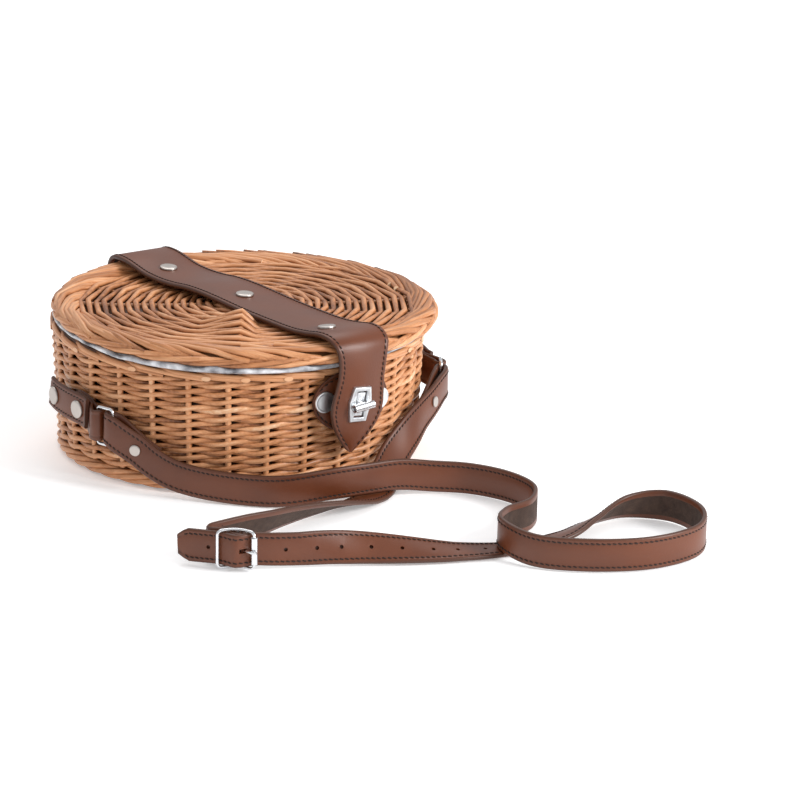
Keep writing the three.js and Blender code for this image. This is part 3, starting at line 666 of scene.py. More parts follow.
shortRoute = [
    wallRow(121.6, -54, 32.2, -8), wallRow(121.6, -50, 35.4, -4), wallRow(122.4, -43.6, 40.4),
    wallRow(124.2, rightBar - 1, 42.1), wallRow(125, rightBar + 1.2, 42.2),
    wallRow(127.4, rightBar + 2, 42.2), wallRow(129.8, rightBar + 1.2, 42.2),
    wallRow(130.6, rightBar - 1.4, 42), wallRow(128.2, -44, 40.4), wallRow(124.8, -50, 35.8, 4),
    [63.8, -104.6, 31.2, 12], [48.8, -112.4, 25.2, 28], [32, -119.8, 16.4, 48],
    [15, -131, 7.2, 69], [2, -140.6, 2.1, 88], [-12, -147, 2.1, 93], [-27, -152.6, 4.1, 105],
    [-44, -156, 6.2, 119], [-61, -158.4, 7.5, 129], [-79, -161.6, 8.5, 139], [-98, -166.4, 9.5, 150],
    [-118, -169.6, 10.2, 162], [-136, -172.8, 10.4, 172], [-146.6, -176.2, 10.8, 178],
    [-150.4, -182.6, 11.3, 180], buckleRow(10.5, -9.6, 180), buckleRow(5.8, -8.2, 180),
    buckleRow(1.2, -7.2, 180), buckleRow(-1.5, -6.7, 180), buckleRow(-3, -4.2, 180),
    buckleRow(-1.5, -1.7, 180), buckleRow(1.2, -1.7, 180), buckleRow(5.5, -4.6, 180), buckleRow(9, -6, 180),
]
strapSizes = {
    "half": 9.7, "thickness": 2.6, "step": 3.5, "tip": (1, 0.84, 0.62),
    "hole": {"radius": 1.2, "deep": 8, "out": 3.5}, "holes": (17, 64, 81, 98, 115, 132, 149, 166, 183),
    "prongSlot": (-5.4, 1.15, (6.4, 3.5, 2.6)), "barSlot": (-0.6, -4.6, (9, 9.4, 3.2)),
    "longFrom": 5, "shortRun": (5, 29),  # rows in the rings and on the buckle's middle bar
}


def strapStations(rows):
    rows = np.array(rows, float)
    rows[:, :3] *= mm
    return rowStations(rows, strapSizes["step"] * mm)


def standing(at, along):  # puts a shape made upright at a point, along a line
    turn = Vector((0, 0, 1)).rotation_difference(Vector(along))
    return Matrix.Translation(at) @ turn.to_matrix().to_4x4()


def addBox(shape, size, place):
    bmesh.ops.create_cube(shape, size=1, matrix=place @ Matrix.Diagonal((*(side * mm for side in size), 1)))


def cutterFrom(shape):
    return linkObject("cutter", meshFrom(shape, "cutter"))


def addBuckleCutter(shape, u, n, size):
    turn = Matrix((buckle["u"], buckle["n"], (0, 0, 1))).transposed().to_4x4()
    addBox(shape, size, Matrix.Translation(Vector(inBuckle(u, n) * mm)) @ turn)


def makeLongStrap():
    s = strapSizes
    line, across, places = strapStations(longRoute)
    face = stripFrame(line, across)[1]
    half = np.full(len(line), s["half"])
    half[-3:] = s["half"] * np.array(s["tip"])  # corners of the tip are taken off
    fromTip = walkedAlong(line[::-1])
    holes = bmesh.new()
    radius, deep, out = (s["hole"][key] * mm for key in ("radius", "deep", "out"))
    for distance in s["holes"]:
        k = len(line) - 1 - int(np.searchsorted(fromTip, distance * mm))
        bmesh.ops.create_cone(holes, cap_ends=True, segments=14, radius1=radius, radius2=radius, depth=deep,
                              matrix=standing(Vector(line[k] + face[k] * out), face[k]))
    addBuckleCutter(holes, *s["prongSlot"])
    strap = stripPiece("long_strap", line, across, half, s["thickness"], cutter=cutterFrom(holes))
    return strap, line[places >= s["longFrom"]]


def makeShortStrap():
    s = strapSizes
    line, across, places = strapStations(shortRoute)
    slot = bmesh.new()
    addBuckleCutter(slot, *s["barSlot"])
    strap = stripPiece("short_strap", line, across, s["half"], s["thickness"], smoothSide=-1,
                       cutter=cutterFrom(slot))
    first, last = s["shortRun"]
    return strap, line[(places >= first) & (places <= last)]


longStrap, longPath = makeLongStrap()
shortStrap, shortPath = makeShortStrap()
print("shoulder strap made")


# metalwork


def turnShape(shape, profile, at, along, steps=28):  # radius and height, spun about the line through at
    kept = set(shape.verts)
    first = [shape.verts.new((radius * mm, 0, height * mm)) for radius, height in profile]
    edges = [shape.edges.new(pair) for pair in zip(first, first[1:])]
    bmesh.ops.spin(shape, geom=first + edges, cent=(0, 0, 0), axis=(0, 0, 1), angle=2 * math.pi,
                   steps=steps, use_merge=True)
    bmesh.ops.remove_doubles(shape, verts=[vert for vert in shape.verts if vert not in kept], dist=1e-6)
    made = [vert for vert in shape.verts if vert not in kept]
    bmesh.ops.transform(shape, matrix=standing(at, along), verts=made)


def roundEdges(shape, edges, offset, segments):
    bmesh.ops.bevel(shape, geom=edges, offset=offset * mm, affect="EDGES", segments=segments,
                    profile=0.5, material=-1)


def shapePiece(name, shape, material, body="bag", sharp=35):
    bmesh.ops.recalc_face_normals(shape, faces=shape.faces)
    mesh = meshFrom(shape, name)
    mesh.shade_smooth()
    mesh.set_sharp_from_angle(angle=math.radians(sharp))
    return addPiece(name + "_metal", mesh, [material], [name], body)


rivetCap = {  # dome: share of the radius, share of the height
    "radius": 5.6, "height": 2.3, "shank": 1.8, "gap": 0.35, "seat": 0.03, "bevel": 0.35,
    "dome": ((1, 0.25), (0.97, 0.42), (0.9, 0.5), (0.7, 0.54), (0.4, 0.57), (0, 0.58)),
}


def makeRivet(name, at, out, depth, radius=rivetCap["radius"], height=rivetCap["height"]):
    shank, bevel = rivetCap["shank"], rivetCap["bevel"]
    foot = rivetCap["seat"] - rivetCap["gap"]  # the cap's rim sits on the leather
    profile = [(0, -depth), (shank, -depth), (shank, foot), (radius - bevel, foot), (radius, foot + bevel)]
    profile += [(radius * wide, height * tall) for wide, tall in rivetCap["dome"]]
    shape = bmesh.new()
    turnShape(shape, profile, Vector(at), out)
    return shapePiece(name, shape, nickel)


def seatOn(line, across, near, thickness, hint):  # nearest station's outer face and the way out of it
    face = stripFrame(line, across)[1]
    k = int(np.argmin(np.linalg.norm(line - near, axis=1)))
    out = face[k] * np.sign(face[k] @ hint)
    return line[k] + out * (thickness / 2 + rivetCap["gap"]) * mm, out


def wirePiece(name, lines, radius):  # each line: points, facing, closed
    parts = PieceMesh()
    for points, facing, closed in lines:
        parts.addRod(np.asarray(points) * mm, facing, radius * mm, loop=closed, sides=12)
    return addPiece(name + "_wire", parts.build(name), [chrome], [name])


def wireOutline(s):  # rounded rectangle of the wire's middle, in u and z
    end, half, corner = s["span"] / 2, s["inside"] / 2 + s["wire"], s["corner"]
    points = []
    for su, sz, first in ((1, 1, 0), (-1, 1, 90), (-1, -1, 180), (1, -1, 270)):
        u, z = su * (end - corner), sz * (half - corner)
        turn = np.radians(np.linspace(first, first + 90, 7))
        points += [(u + corner * math.cos(a), z + corner * math.sin(a)) for a in turn]
        if su == sz:
            points += [(su * u, sz * half) for u in s["alongEnds"]]
        else:
            points += [(su * end, sz * z) for z in s["alongSides"]]
    return points


strapRivet = {
    "radius": 3.5, "height": 1.6, "depth": 6,
    "seats": (
        ("long_strap_rivet", longRoute, (122.6, -155.6, 26.6)),
        ("short_strap_rivet", shortRoute, (124.8, -50, 35.8)),
    ),
}


def makeStrapRivets():
    s = strapRivet
    rivets = []
    for name, rows, seat in s["seats"]:
        line, across = strapStations(rows)[:2]
        at, out = seatOn(line, across, polar(*seat), strapSizes["thickness"], outward(seat[1]))
        rivets.append(makeRivet(name, at, out, s["depth"], s["radius"], s["height"]))
    return rivets


def makeBuckle():
    s = buckle
    end = s["span"] / 2
    half = s["inside"] / 2 + s["wire"]
    loop = [inBuckle(u, -s["bow"] * (1 - (u / end) ** 2) ** 1.3, z) for u, z in wireOutline(s)]
    bar = [inBuckle(0, -s["bow"], z) for z in np.linspace(-half, half, 9)]
    outline = wirePiece("buckle_frame", [(loop, s["n"], True), (bar, s["n"], False)], s["wire"])
    shape = bmesh.new()
    turnShape(shape, s["roller"], Vector(inBuckle(-end, 0) * mm), (0, 0, 1))
    roller = shapePiece("buckle_roller", shape, chrome)
    hook = s["wire"] + s["hookOut"]
    bend = [inBuckle(hook * math.cos(a), -s["bow"] - hook * math.sin(a)) for a in np.radians(s["hook"])]
    bend += [inBuckle(u, n) for u, n in s["prongRun"]]
    line = smoothLine(bend, s["prong"])[0]
    prong = wirePiece("buckle_prong", [(line, (0, 0, 1), False)], s["prong"])
    return [outline, roller, prong]


longRivet, shortRivet = makeStrapRivets()
buckleParts = makeBuckle()


print("strap rivets and buckle made")


# side tabs, loops and rings

sideLeather = {  # rivets: row of the tab, depth of the shank
    "half": 9.7, "tab": 2.4, "loop": 2, "foldOut": 1.8, "tabStep": 2, "loopStep": 1.5,
    "rivets": {"near": (2, 7.2), "far": (4, 6.2)},
}


def sideRows(side):  # degrees from the ring's bar, radius, height
    ring = sideRings[side]
    shift, tab, radius, high = ring["shift"], ring["tab"], ring["radius"], ring["height"]
    lift = radius - sideRings["left"]["radius"]
    fold = ringShape["wire"] + sideLeather["foldOut"]
    near = (tab[0] + high) / 2
    tabRows = [
        (4.2 + shift, 123.8 + lift * 0.1, tab[0]), (6 + shift, 122.75, (tab[0] + tab[1]) / 2),
        (8.4 + shift, 122.5, tab[1]), (14.5 + shift, 122.5, tab[2]), (22 + shift, 122.5, tab[3]),
        (25.2 + shift, 122.9, tab[4]),
    ]
    loopRows = [
        (11.5 + shift, 119.95, tab[1]), (8.2 + shift, 119.95, tab[1] - 0.4),
        (6.4 + shift, 119.95, tab[1] - 1.4), (4.8 + shift, 120.3, near),
        (2.8 + shift * 0.55, 123 + lift * 0.5, (near + high) / 2), (1, radius + fold, high),
        (-0.4, radius + fold * 0.9, high), (-math.degrees(fold / radius), radius, high),
        (-0.4, radius - fold * 0.9, high), (1, radius - fold, high),
        (4.8 + shift, 118.2 + lift * 0.1, near), (8.2 + shift, 117.5, tab[1] - 0.4),
        (11.5 + shift, 117.5, tab[1]),
    ]
    return tabRows, loopRows


def makeSideLeather(side):
    s = sideLeather
    sign = sideRings[side]["sign"]
    tabBar = barAngle(side, 1)
    tabRows, loopRows = sideRows(side)

    def stations(rows, step):
        placed = np.array([[*polar(r, tabBar + sign * offset, z), 0] for offset, r, z in rows])
        return rowStations(placed, step * mm)[:2]

    line, across = stations(tabRows, s["tabStep"])
    stripPiece(side + "_tab", line, across, s["half"], s["tab"], smoothSide=sign)
    for name, (row, depth) in s["rivets"].items():
        offset, radius, height = tabRows[row]
        angle = tabBar + sign * offset
        at, out = seatOn(line, across, polar(radius, angle, height), s["tab"], outward(angle))
        makeRivet(side + "_tab_rivet_" + name, at, out, depth)
    line, across = stations(loopRows, s["loopStep"])
    stripPiece(side + "_loop", line, across, s["half"], s["loop"], smoothSide=-sign, stitches=False)


def makeRing(side):
    radius, height = sideRings[side]["radius"], sideRings[side]["height"]
    first, last = (polar(radius, barAngle(side, towards), height) / mm for towards in (1, -1))
    tangent = unit(last - first)
    points = [(first + last) / 2 + u * tangent + np.array([0, 0, z]) for u, z in wireOutline(ringShape)]
    wirePiece(side + "_ring", [(points, np.cross(tangent, (0, 0, 1)), True)], ringShape["wire"])


for side in sideRings:
    makeSideLeather(side)
    makeRing(side)
print("side tabs and rings made")


# sizes of basket and lid in millimetres

basket = {
    "foot": 113.2, "flare": 0.0485, "seam": 84.5, "tilt": 5, "tiltRadius": 118, "facing": -112.5,
    "edge": 2.4, "rim": 7, "rimRadius": 117, "gap": 0.35, "middle": 45,
}
lid = {"centre": (2, -4), "top": 95.2, "rise": 1.3, "clear": 0.2}


def wallRadius(height):
    return basket["foot"] + basket["flare"] * height


# lid strap, lock patch and turn lock

lidStrap = {
    "thickness": 2.8, "step": 3, "slot": (7.2, 9, 16.4), "rivetDepth": 3.9,
    "rivets": {"back": (-1, 76, 95.5), "middle": (-2, -9, 96.2), "front": (-5, -98, 95.4)},
    "hinge": {"y": 119.9, "z": 52, "rivets": {"left": 14.5, "right": -7.5}, "depth": 5.2},
    "rows": [  # x, y, z, half width
        (3.5, 119.9, 40, 20.5), (3.5, 119.9, 52, 21.5), (3.5, 120.3, 70, 21.5), (3.5, 120.5, 84, 21.5),
        (3.5, 120.4, 90, 21.5), (3.5, 119.7, 93.8, 21.5), (3.5, 117.7, 97, 21.5), (3.4, 113.6, 98.9, 21.5),
        (3.1, 106, 99.3, 21.5), (2.7, 97, 98.7, 21.5), (2.2, 87, 97.1, 21.5), (1.6, 76, 95.5, 21.5),
        (0.9, 60, 94.9, 21.5), (0.4, 44, 95.5, 21.5), (0.1, 28, 96.9, 21.5), (0, 12, 97.1, 21.5),
        (0, -9, 96.2, 21.5), (0, -30, 95, 21.5), (0, -60, 94.1, 21.5), (0, -84, 94.1, 21.5),
        (0, -98, 95.4, 21.5), (0, -110, 97.2, 21.5), (0, -118, 96.9, 21), (0, -122.6, 95.2, 20.4),
        (-0.1, -126.2, 92.2, 19.6), (-0.4, -127.9, 86.8, 18), (-0.8, -128.3, 80, 17.2),
        (-1.3, -127.8, 72, 17.1), (-1.9, -126.95, 64, 18.2), (-2.5, -126, 56, 19.3),
        (-2.9, -125.3, 50, 19.2), (-3.4, -124.56, 44, 17.2), (-3.9, -123.84, 38, 13.6),
        (-4.4, -123, 32, 8.8), (-4.8, -122.3, 27.5, 4.4), (-5, -121.9, 25, 1),
    ],
}
lockSizes = {
    "at": (-2.5, -126, 56), "lean": 6.8, "turn": 5,
    "plate": (
        (-6.1, 11), (6.1, 11), (8.2, 1.5), (7.2, -4), (6.1, -11), (-6.1, -11), (-7.4, -4), (-8.2, 1.5),
    ),
    "window": (7.6, 16.8), "front": -3.45, "back": -1.45, "plateBevel": 0.55,
    "base": {"size": (12, 1.4, 16), "y": 5}, "boss": {"size": (6, 7.2, 15), "y": 1}, "baseBevel": 0.5,
    "bar": 2.6, "barLength": 14.6, "barOut": -6.4, "tilt": 10, "barEdge": (0.3, 0.35),
    "bore": 1.5, "boreDeep": 3.5, "boreEdge": (0.25, 0.3),
    "post": [(0, -1.6), (1.9, -1.6), (1.9, 4.2), (2.2, 4.6), (0, 5.4)],
}
lockPlace = (
    Matrix.Translation([value * mm for value in lockSizes["at"]])
    @ Matrix.Rotation(math.radians(lockSizes["lean"]), 4, "X")
    @ Matrix.Rotation(math.radians(lockSizes["turn"]), 4, "Y")
)


def makeLidStrap():
    s = lidStrap
    rows = np.array(s["rows"], float)
    line, places = smoothLine(rows[:, :3] * mm, s["step"] * mm)
    half = np.interp(places, np.arange(len(rows)), rows[:, 3])
    across = np.broadcast_to(np.array([-1.0, 0, 0]), line.shape)
    slot = bmesh.new()
    addBox(slot, s["slot"], lockPlace)
    stripPiece("lid_strap", line, across, half, s["thickness"], smoothSide=-1, cutter=cutterFrom(slot))

    def rivet(name, x, y, z, hint, depth):
        at, out = seatOn(line, across, np.array([0, y, z]) * mm, s["thickness"], np.array(hint))
        makeRivet(name, np.array([x * mm, *at[1:]]), out, depth)

    for name, (x, y, z) in s["rivets"].items():
        rivet("lid_rivet_" + name, x, y, z, (0, 0, 1), s["rivetDepth"])
    hinge = s["hinge"]
    for name, x in hinge["rivets"].items():
        rivet("hinge_rivet_" + name, x, hinge["y"], hinge["z"], (0, 1, 0), hinge["depth"])


patch = {
    "height": 55.5, "slope": 0.1, "half": (28, 20), "endHalf": 1.2, "thickness": 2.2, "out": 2.2,
    "discs": 20.8,
    "disc": [  # radius and height
        (0, -2.7), (1.8, -2.7), (1.8, -0.3), (6.4, -0.3), (6.7, 0), (6.7, 0.9), (6.5, 1.25), (6.1, 1.4),
        (5.5, 1.35), (5.2, 1.15), (4.9, 1.15), (3, 1.3), (0, 1.35),
    ],
}


def onPatch(arc):  # arc along the wall from the front; the patch sits a little askew
    height = patch["height"] - patch["slope"] * arc
    radius = wallRadius(height) + patch["out"]
    angle = -90 + np.degrees(arc / radius)
    return polar(radius, angle, height), angle


def makeLockPatch():
    long, tall = patch["half"]
    turn = np.radians(np.linspace(-90, 90, 41))
    line, angle = onPatch(long * np.sin(turn))
    across = np.array([0, 0, 1]) + outward(angle) * basket["flare"]
    half = np.maximum(tall * np.cos(turn), patch["endHalf"])
    stripPiece("lock_tab", line, across, half, patch["thickness"])
    for name, sign in (("left", -1), ("right", 1)):
        place, angle = onPatch(sign * patch["discs"])
        out = unit(outward(angle) - np.array([0, 0, basket["flare"]]))
        at = place + out * (patch["thickness"] / 2 + rivetCap["gap"]) * mm
        shape = bmesh.new()
        turnShape(shape, patch["disc"], Vector(at), out, steps=36)
        shapePiece("lock_disc_" + name, shape, satinSteel)


def makeLockPlate():
    s = lockSizes
    shape = bmesh.new()
    wide, tall = (size / 2 for size in s["window"])
    edges = []
    for loop in (s["plate"], ((-wide, tall), (wide, tall), (wide, -tall), (-wide, -tall))):
        corners = [shape.verts.new((x * mm, s["back"] * mm, z * mm)) for x, z in loop]
        edges += [shape.edges.new(pair) for pair in zip(corners, corners[1:] + corners[:1])]
    bmesh.ops.triangle_fill(shape, edges=edges, use_beauty=True)
    pulled = bmesh.ops.extrude_face_region(shape, geom=shape.faces[:], use_keep_orig=True)["geom"]
    front = [part for part in pulled if isinstance(part, bmesh.types.BMVert)]
    bmesh.ops.translate(shape, verts=front, vec=(0, (s["front"] - s["back"]) * mm, 0))
    bmesh.ops.recalc_face_normals(shape, faces=shape.faces)
    rim = [edge for edge in shape.edges if edge.is_manifold and edge.calc_face_angle() > 0.6
           and all(abs(vert.co.y - s["front"] * mm) < 1e-6 for vert in edge.verts)]
    roundEdges(shape, rim, s["plateBevel"], 3)
    bmesh.ops.transform(shape, matrix=lockPlace, verts=shape.verts)
    shapePiece("lock_plate", shape, satinSteel, sharp=50)


def makeTurnBar():
    s = lockSizes
    shape = bmesh.new()
    r, end, hole = s["bar"], s["barLength"] / 2, s["bore"]
    (edgeIn, edgeDown), (lipOut, lipDown) = s["barEdge"], s["boreEdge"]
    bottom = end - s["boreDeep"]
    tilt = math.radians(s["tilt"])
    upper = [  # from the middle of the bar's outside into its end
        (r, end - edgeDown), (r - edgeIn, end), (hole + lipOut, end), (hole, end - lipDown), (hole, bottom),
        (0, bottom),
    ]
    profile = [(radius, -height) for radius, height in upper[::-1]] + upper
    turnShape(shape, profile, Vector((0, s["barOut"] * mm, 0)), (math.cos(tilt), 0, math.sin(tilt)))
    turnShape(shape, s["post"], Vector((0, 0, 0)), (0, -1, 0))
    bmesh.ops.transform(shape, matrix=lockPlace, verts=shape.verts)
    shapePiece("turn_bar", shape, chrome, body="lock_bar")


def makeLockBase():
    shape = bmesh.new()
    for part in (lockSizes["base"], lockSizes["boss"]):
        addBox(shape, part["size"], Matrix.Translation((0, part["y"] * mm, 0)))
    roundEdges(shape, shape.edges[:], lockSizes["baseBevel"], 2)
    bmesh.ops.transform(shape, matrix=lockPlace, verts=shape.verts)
    shapePiece("lock_base", shape, satinSteel)


for make in (makeLidStrap, makeLockPatch, makeLockPlate, makeTurnBar, makeLockBase):
    make()
print("lid strap and turn lock made")


# wicker, in millimetres until the rods are laid


def seamAt(x, y):
    a = math.radians(basket["facing"])
    return basket["seam"] - basket["tilt"] * (x * math.cos(a) + y * math.sin(a)) / basket["tiltRadius"]


def seamAround(radius, degrees, centre=(0, 0)):
    x, y = np.moveaxis(polar(radius, degrees, 0)[..., :2] / mm, -1, 0)
    return seamAt(x + centre[0], y + centre[1])


def rimTop(degrees):
    return seamAround(basket["rimRadius"], degrees) - basket["edge"] / 2 - basket["gap"]


def underLid(radius, degrees):
    return seamAround(radius, degrees, lid["centre"]) + basket["edge"] / 2 + basket["gap"] + lid["clear"]


def lidTop(degrees):
    return lid["top"] + lid["rise"] * np.sin(np.radians(degrees))


def onLid(radius, degrees, height):
    return polar(radius, degrees, height) + np.array([*lid["centre"], 0]) * mm


def rodTones(count, runs, base, spread):  # a rod is spliced now and then, and each length has its own tone
    splices = np.sort(chance.integers(0, count, runs))
    run = np.searchsorted(splices, np.arange(count), side="right")
    return base + chance.normal(0, spread, runs + 1)[run]


def drift(degrees, size):  # slow unevenness round the basket
    a = np.radians(degrees)
    return sum(chance.normal(0, size / k) * np.sin(k * a + chance.uniform(0, 6.3)) for k in (1, 2, 3, 5))


def sided(degrees, middle, sharpness):  # 1 at an angle, falling to 0 a quarter turn away
    return np.maximum(np.cos(np.radians(degrees - middle)), 0) ** sharpness


def wickerPiece(name, parts):
    return addPiece(name + "_rods", parts.build(name), [wicker], [name])


def addTurned(parts, place, angle, section, tone=0.5):  # carries a section of radius and height all round
    parts.addGrid(np.stack([place(r, angle, z) for r, z in section], 1), loop=True, tone=tone)


# painted shade: the core stands in for the rods' inner half and is toned dark for the shade in the gaps
def addCore(parts, place, angle, inner, outer, low, high, tone):  # dark, behind the rods
    addTurned(parts, place, angle, [(inner, low), (inner, high), (outer, high), (outer, low)], tone)


wallWeave = {
    "stakes": 30, "offset": 3, "rows": 12, "samples": 6, "rod": 1.68, "flat": 0.85, "swing": 1.8,
    "arch": 1.35, "in": 3.1, "low": 11.6, "belowRim": 2, "uneven": (0.15, 0.03),
    "tone": 0.64, "spread": 0.1, "shade": 0.13, "splices": 9,
    "stake": {"rod": 1.95, "in": 2.7, "low": 9.8, "up": 1, "tone": (0.66, 0.06), "loose": (0.25, 0.1)},
    "coreIn": (6.1, 5.5), "coreUp": 0.5, "coreShadeTone": 0.0,
}


def makeWall():
    s = wallWeave
    parts = PieceMesh()
    count = s["stakes"] * s["samples"]
    walk = np.arange(count) / s["samples"]  # counted in stakes
    apart = 360 / s["stakes"]
    angle = s["offset"] + apart * walk
    top = rimTop(angle) - basket["rim"] - s["belowRim"]
    for row in range(s["rows"]):
        height = s["low"] + (top - s["low"]) * row / (s["rows"] - 1) + drift(angle, s["uneven"][0])
        for strand in (0, 1):
            ahead = 2 * np.abs((walk + strand) % 2 - 1) - 1  # 1 in front of a stake, -1 behind the next
            ahead = 0.6 * ahead + 0.4 * np.sin(ahead * np.pi / 2)
            radial = wallRadius(height) - s["in"] + s["swing"] * ahead
            above = np.where((walk + strand) % 2 < 1, 1, -1)  # going back it rides above the other
            line = polar(radial, angle, height + above * s["arch"] * 4 * (walk % 1) * (1 - walk % 1))
            tone = rodTones(count, s["splices"], s["tone"], s["spread"]) - s["shade"] * (1 - ahead)
            thick = s["rod"] * (1 + drift(angle, s["uneven"][1]))
            parts.addRod(line, outward(angle), thick * mm, tone=tone, loop=True, flat=s["flat"])
    stake = s["stake"]
    turned, bent = stake["loose"]
    for k in range(s["stakes"]):
        a = s["offset"] + apart * k + chance.normal(0, turned)
        z = np.linspace(stake["low"], float(rimTop(a)) - basket["rim"] + stake["up"], 10)
        line = polar(wallRadius(z) - stake["in"] + chance.normal(0, bent, len(z)), a, z)
        parts.addRod(line, outward(a), stake["rod"] * mm, tone=chance.normal(*stake["tone"]), sides=9)
    angle = allRound(90)
    inner, outer = (wallRadius(basket["middle"]) - deep for deep in s["coreIn"])
    high = rimTop(angle) - basket["rim"] + s["coreUp"]
    addCore(parts, polar, angle, inner, outer, stake["low"], high, s["coreShadeTone"])
    return wickerPiece("basket_wall", parts)


rimWeave = {
    "rods": 30, "span": 29, "rod": 1.65, "inner": 112.1, "outer": 115.9, "clear": 0.1, "loose": 0.4,
    "tone": 0.58, "spread": 0.08, "shade": 0.25,
    "core": (110.8, 114.6), "coreEnds": (0.6, 0.8), "coreShadeTone": 0.1,
    "stub": {  # a stake's cut end under the rim
        "missing": 0.25, "radius": (112.5, 114.5, 116.4, 117.9), "up": 2.4,
        "rod": 2.9, "flat": 0.5, "cut": 0.8,
    },
}


def makeRim():
    s = rimWeave
    stub = s["stub"]
    parts = PieceMesh()
    u = np.linspace(0, 1, 22)
    drop = basket["rim"] - 2 * s["rod"] - 2 * s["clear"]
    for k in range(s["rods"]):
        angle = wallWeave["offset"] + 360 / s["rods"] * k + chance.normal(0, s["loose"]) + s["span"] * u
        swing = smoothStep(0, 1, u * 3.2)
        radial = s["inner"] + (s["outer"] - s["inner"]) * swing
        height = rimTop(angle) - s["rod"] - s["clear"] - drop * u ** 1.1
        tone = chance.normal(s["tone"], s["spread"]) - s["shade"] * (1 - swing)
        parts.addRod(polar(radial, angle, height), outward(angle), s["rod"] * mm, tone=tone)
        if chance.random() < stub["missing"]:
            continue
        a = angle[-1] + 1
        line = polar(np.array(stub["radius"]), a, float(rimTop(a)) - basket["rim"] + stub["up"])
        parts.addRod(line, (0, 0, 1), stub["rod"] * mm, sides=12, flat=stub["flat"], capTone=stub["cut"])
    angle = allRound(90)
    low = rimTop(angle) - basket["rim"] + s["coreEnds"][0]
    high = rimTop(angle) - s["coreEnds"][1]
    addCore(parts, polar, angle, *s["core"], low, high, s["coreShadeTone"])
    return wickerPiece("rim_border", parts)


footWeave = {
    "strands": 5, "turns": 8, "samples": 300, "rod": 1.8, "swing": 2.6, "centre": (109.75, 4.6),
    "tone": 0.6, "spread": 0.07, "shade": 0.12, "splices": 5,
    "core": (105.2, 108.6, 1.5, 9), "coreShadeTone": 0.1,
}


def makeFoot():
    s = footWeave
    parts = PieceMesh()
    angle = allRound(s["samples"])
    for strand in range(s["strands"]):
        turn = np.radians(angle) * s["turns"] - 2 * np.pi * strand / s["strands"]
        radial = s["centre"][0] + s["swing"] * np.cos(turn)
        height = s["centre"][1] + s["swing"] * np.sin(turn)
        tone = rodTones(s["samples"], s["splices"], s["tone"], s["spread"])
        tone -= s["shade"] * (1 - np.cos(turn))
        parts.addRod(polar(radial, angle, height), outward(angle), s["rod"] * mm, tone=tone, loop=True)
    addCore(parts, polar, allRound(90), *s["core"], s["coreShadeTone"])
    return wickerPiece("foot_border", parts)


def chordAt(spokes, angle):  # how much a rod laid straight from spoke to spoke keeps inside the circle
    turned = spokes[0] + (angle - spokes[0]) % 360
    k = np.searchsorted(spokes[1:-1], turned, "right")
    half = (spokes[k + 1] - spokes[k]) / 2
    return np.cos(np.radians(half)) / np.cos(np.radians(turned - spokes[k] - half))


discWeave = {  # the same for base and lid
    "samples": 6, "spread": 0.08, "shade": 0.1,
    "hub": 3, "past": 1, "spokeRod": 1.1, "spokeTone": (-0.12, 0.05),
}


def addDiscWeave(parts, s, place, middle, facing):  # one rod spirals outwards, straight from spoke to spoke
    samples = discWeave["samples"]
    spokes = s["spokes"]
    count = len(spokes) - 1
    walk = np.arange(count * samples * s["rows"] + 1) / samples  # counted in spokes
    angle = np.interp(walk % count, np.arange(count + 1), spokes) + walk // count * 360
    radius = s["first"] + (s["last"] - s["first"]) * walk / walk[-1]
    over = np.cos(np.pi * walk)
    height = middle(radius, angle) + s["swing"] * over * facing
    tone = rodTones(len(walk), 3 * s["rows"], s["tone"], discWeave["spread"])
    tone -= discWeave["shade"] * (1 - over)
    # painted light: the rods on one side, round the proud spoke, are toned paler for the light on them
    tone += s["pale"][1] * sided(angle, s["pale"][0], 4)  # rods of the paler side
    line = place(radius * chordAt(spokes, angle), angle, height)
    parts.addRod(line, (0, 0, facing), s["rod"] * mm, tone=tone)
    darker, spread = discWeave["spokeTone"]
    thick = s["rod"] * discWeave["spokeRod"] * mm
    for a in spokes[:-1]:
        r = np.linspace(discWeave["hub"], s["last"] + discWeave["past"], 24)
        line = place(r, a, middle(r, a) - s["sunk"] * facing)
        parts.addRod(line, (0, 0, facing), thick, tone=chance.normal(s["tone"] + darker, spread))


baseWeave = {
    "spokes": np.linspace(0, 360, 18), "rows": 19, "first": 12, "last": 103, "rod": 1.75, "swing": 1.25,
    "sunk": 0, "middle": 3.4, "tone": 0.55, "pale": (0, 0), "core": (0.5, 104.4, 5.6, 6.9), "coreShadeTone": 0.1,
}


def makeBase():
    parts = PieceMesh()
    addDiscWeave(parts, baseWeave, polar, lambda radius, angle: baseWeave["middle"], -1)
    addCore(parts, polar, allRound(72), *baseWeave["core"], baseWeave["coreShadeTone"])
    return wickerPiece("basket_base", parts)


lidWeave = {
    "spokes": np.array([141.5, 160, 180.5, 205.5, 232, *np.linspace(253, 501.5, 13)]),
    "rows": 20, "first": 9, "last": 108, "rod": 1.8, "swing": 0.7, "sunk": 2.0,
    # pale: where the painted light lifts the rods' tone, and by how much
    "tone": 0.58, "pale": (222, 0.14),  # the paler side and by how much
    "dish": ((0, 18, 50, 84, 107), (91.3, 91, 89.5, 89, 90.3)),  # radius, height of the rods' middle
    "ridge": {"angle": 232, "height": 8.6, "from": (41, 50), "to": (50, 106), "halves": (25, 9)},
    "core": (0.5, 106.8), "coreTop": 87.2, "coreLow": 86, "coreUnder": 100, "coreShadeTone": 0.1,
}


def lidMiddle(radius, angle):  # hub, shallow dish, rise to the border and one proud spoke
    ridge = lidWeave["ridge"]
    aside = (angle - ridge["angle"] + 180) % 360 - 180
    aside = radius * np.sin(np.radians(np.clip(aside, -90, 90)))
    proud = smoothStep(*ridge["from"], radius) * (1 - smoothStep(*ridge["to"], radius))
    gentle, steep = ridge["halves"]
    proud = ridge["height"] * proud * np.clip(1 - np.maximum(-aside / gentle, aside / steep), 0, 1)
    return np.interp(radius, *lidWeave["dish"]) + proud


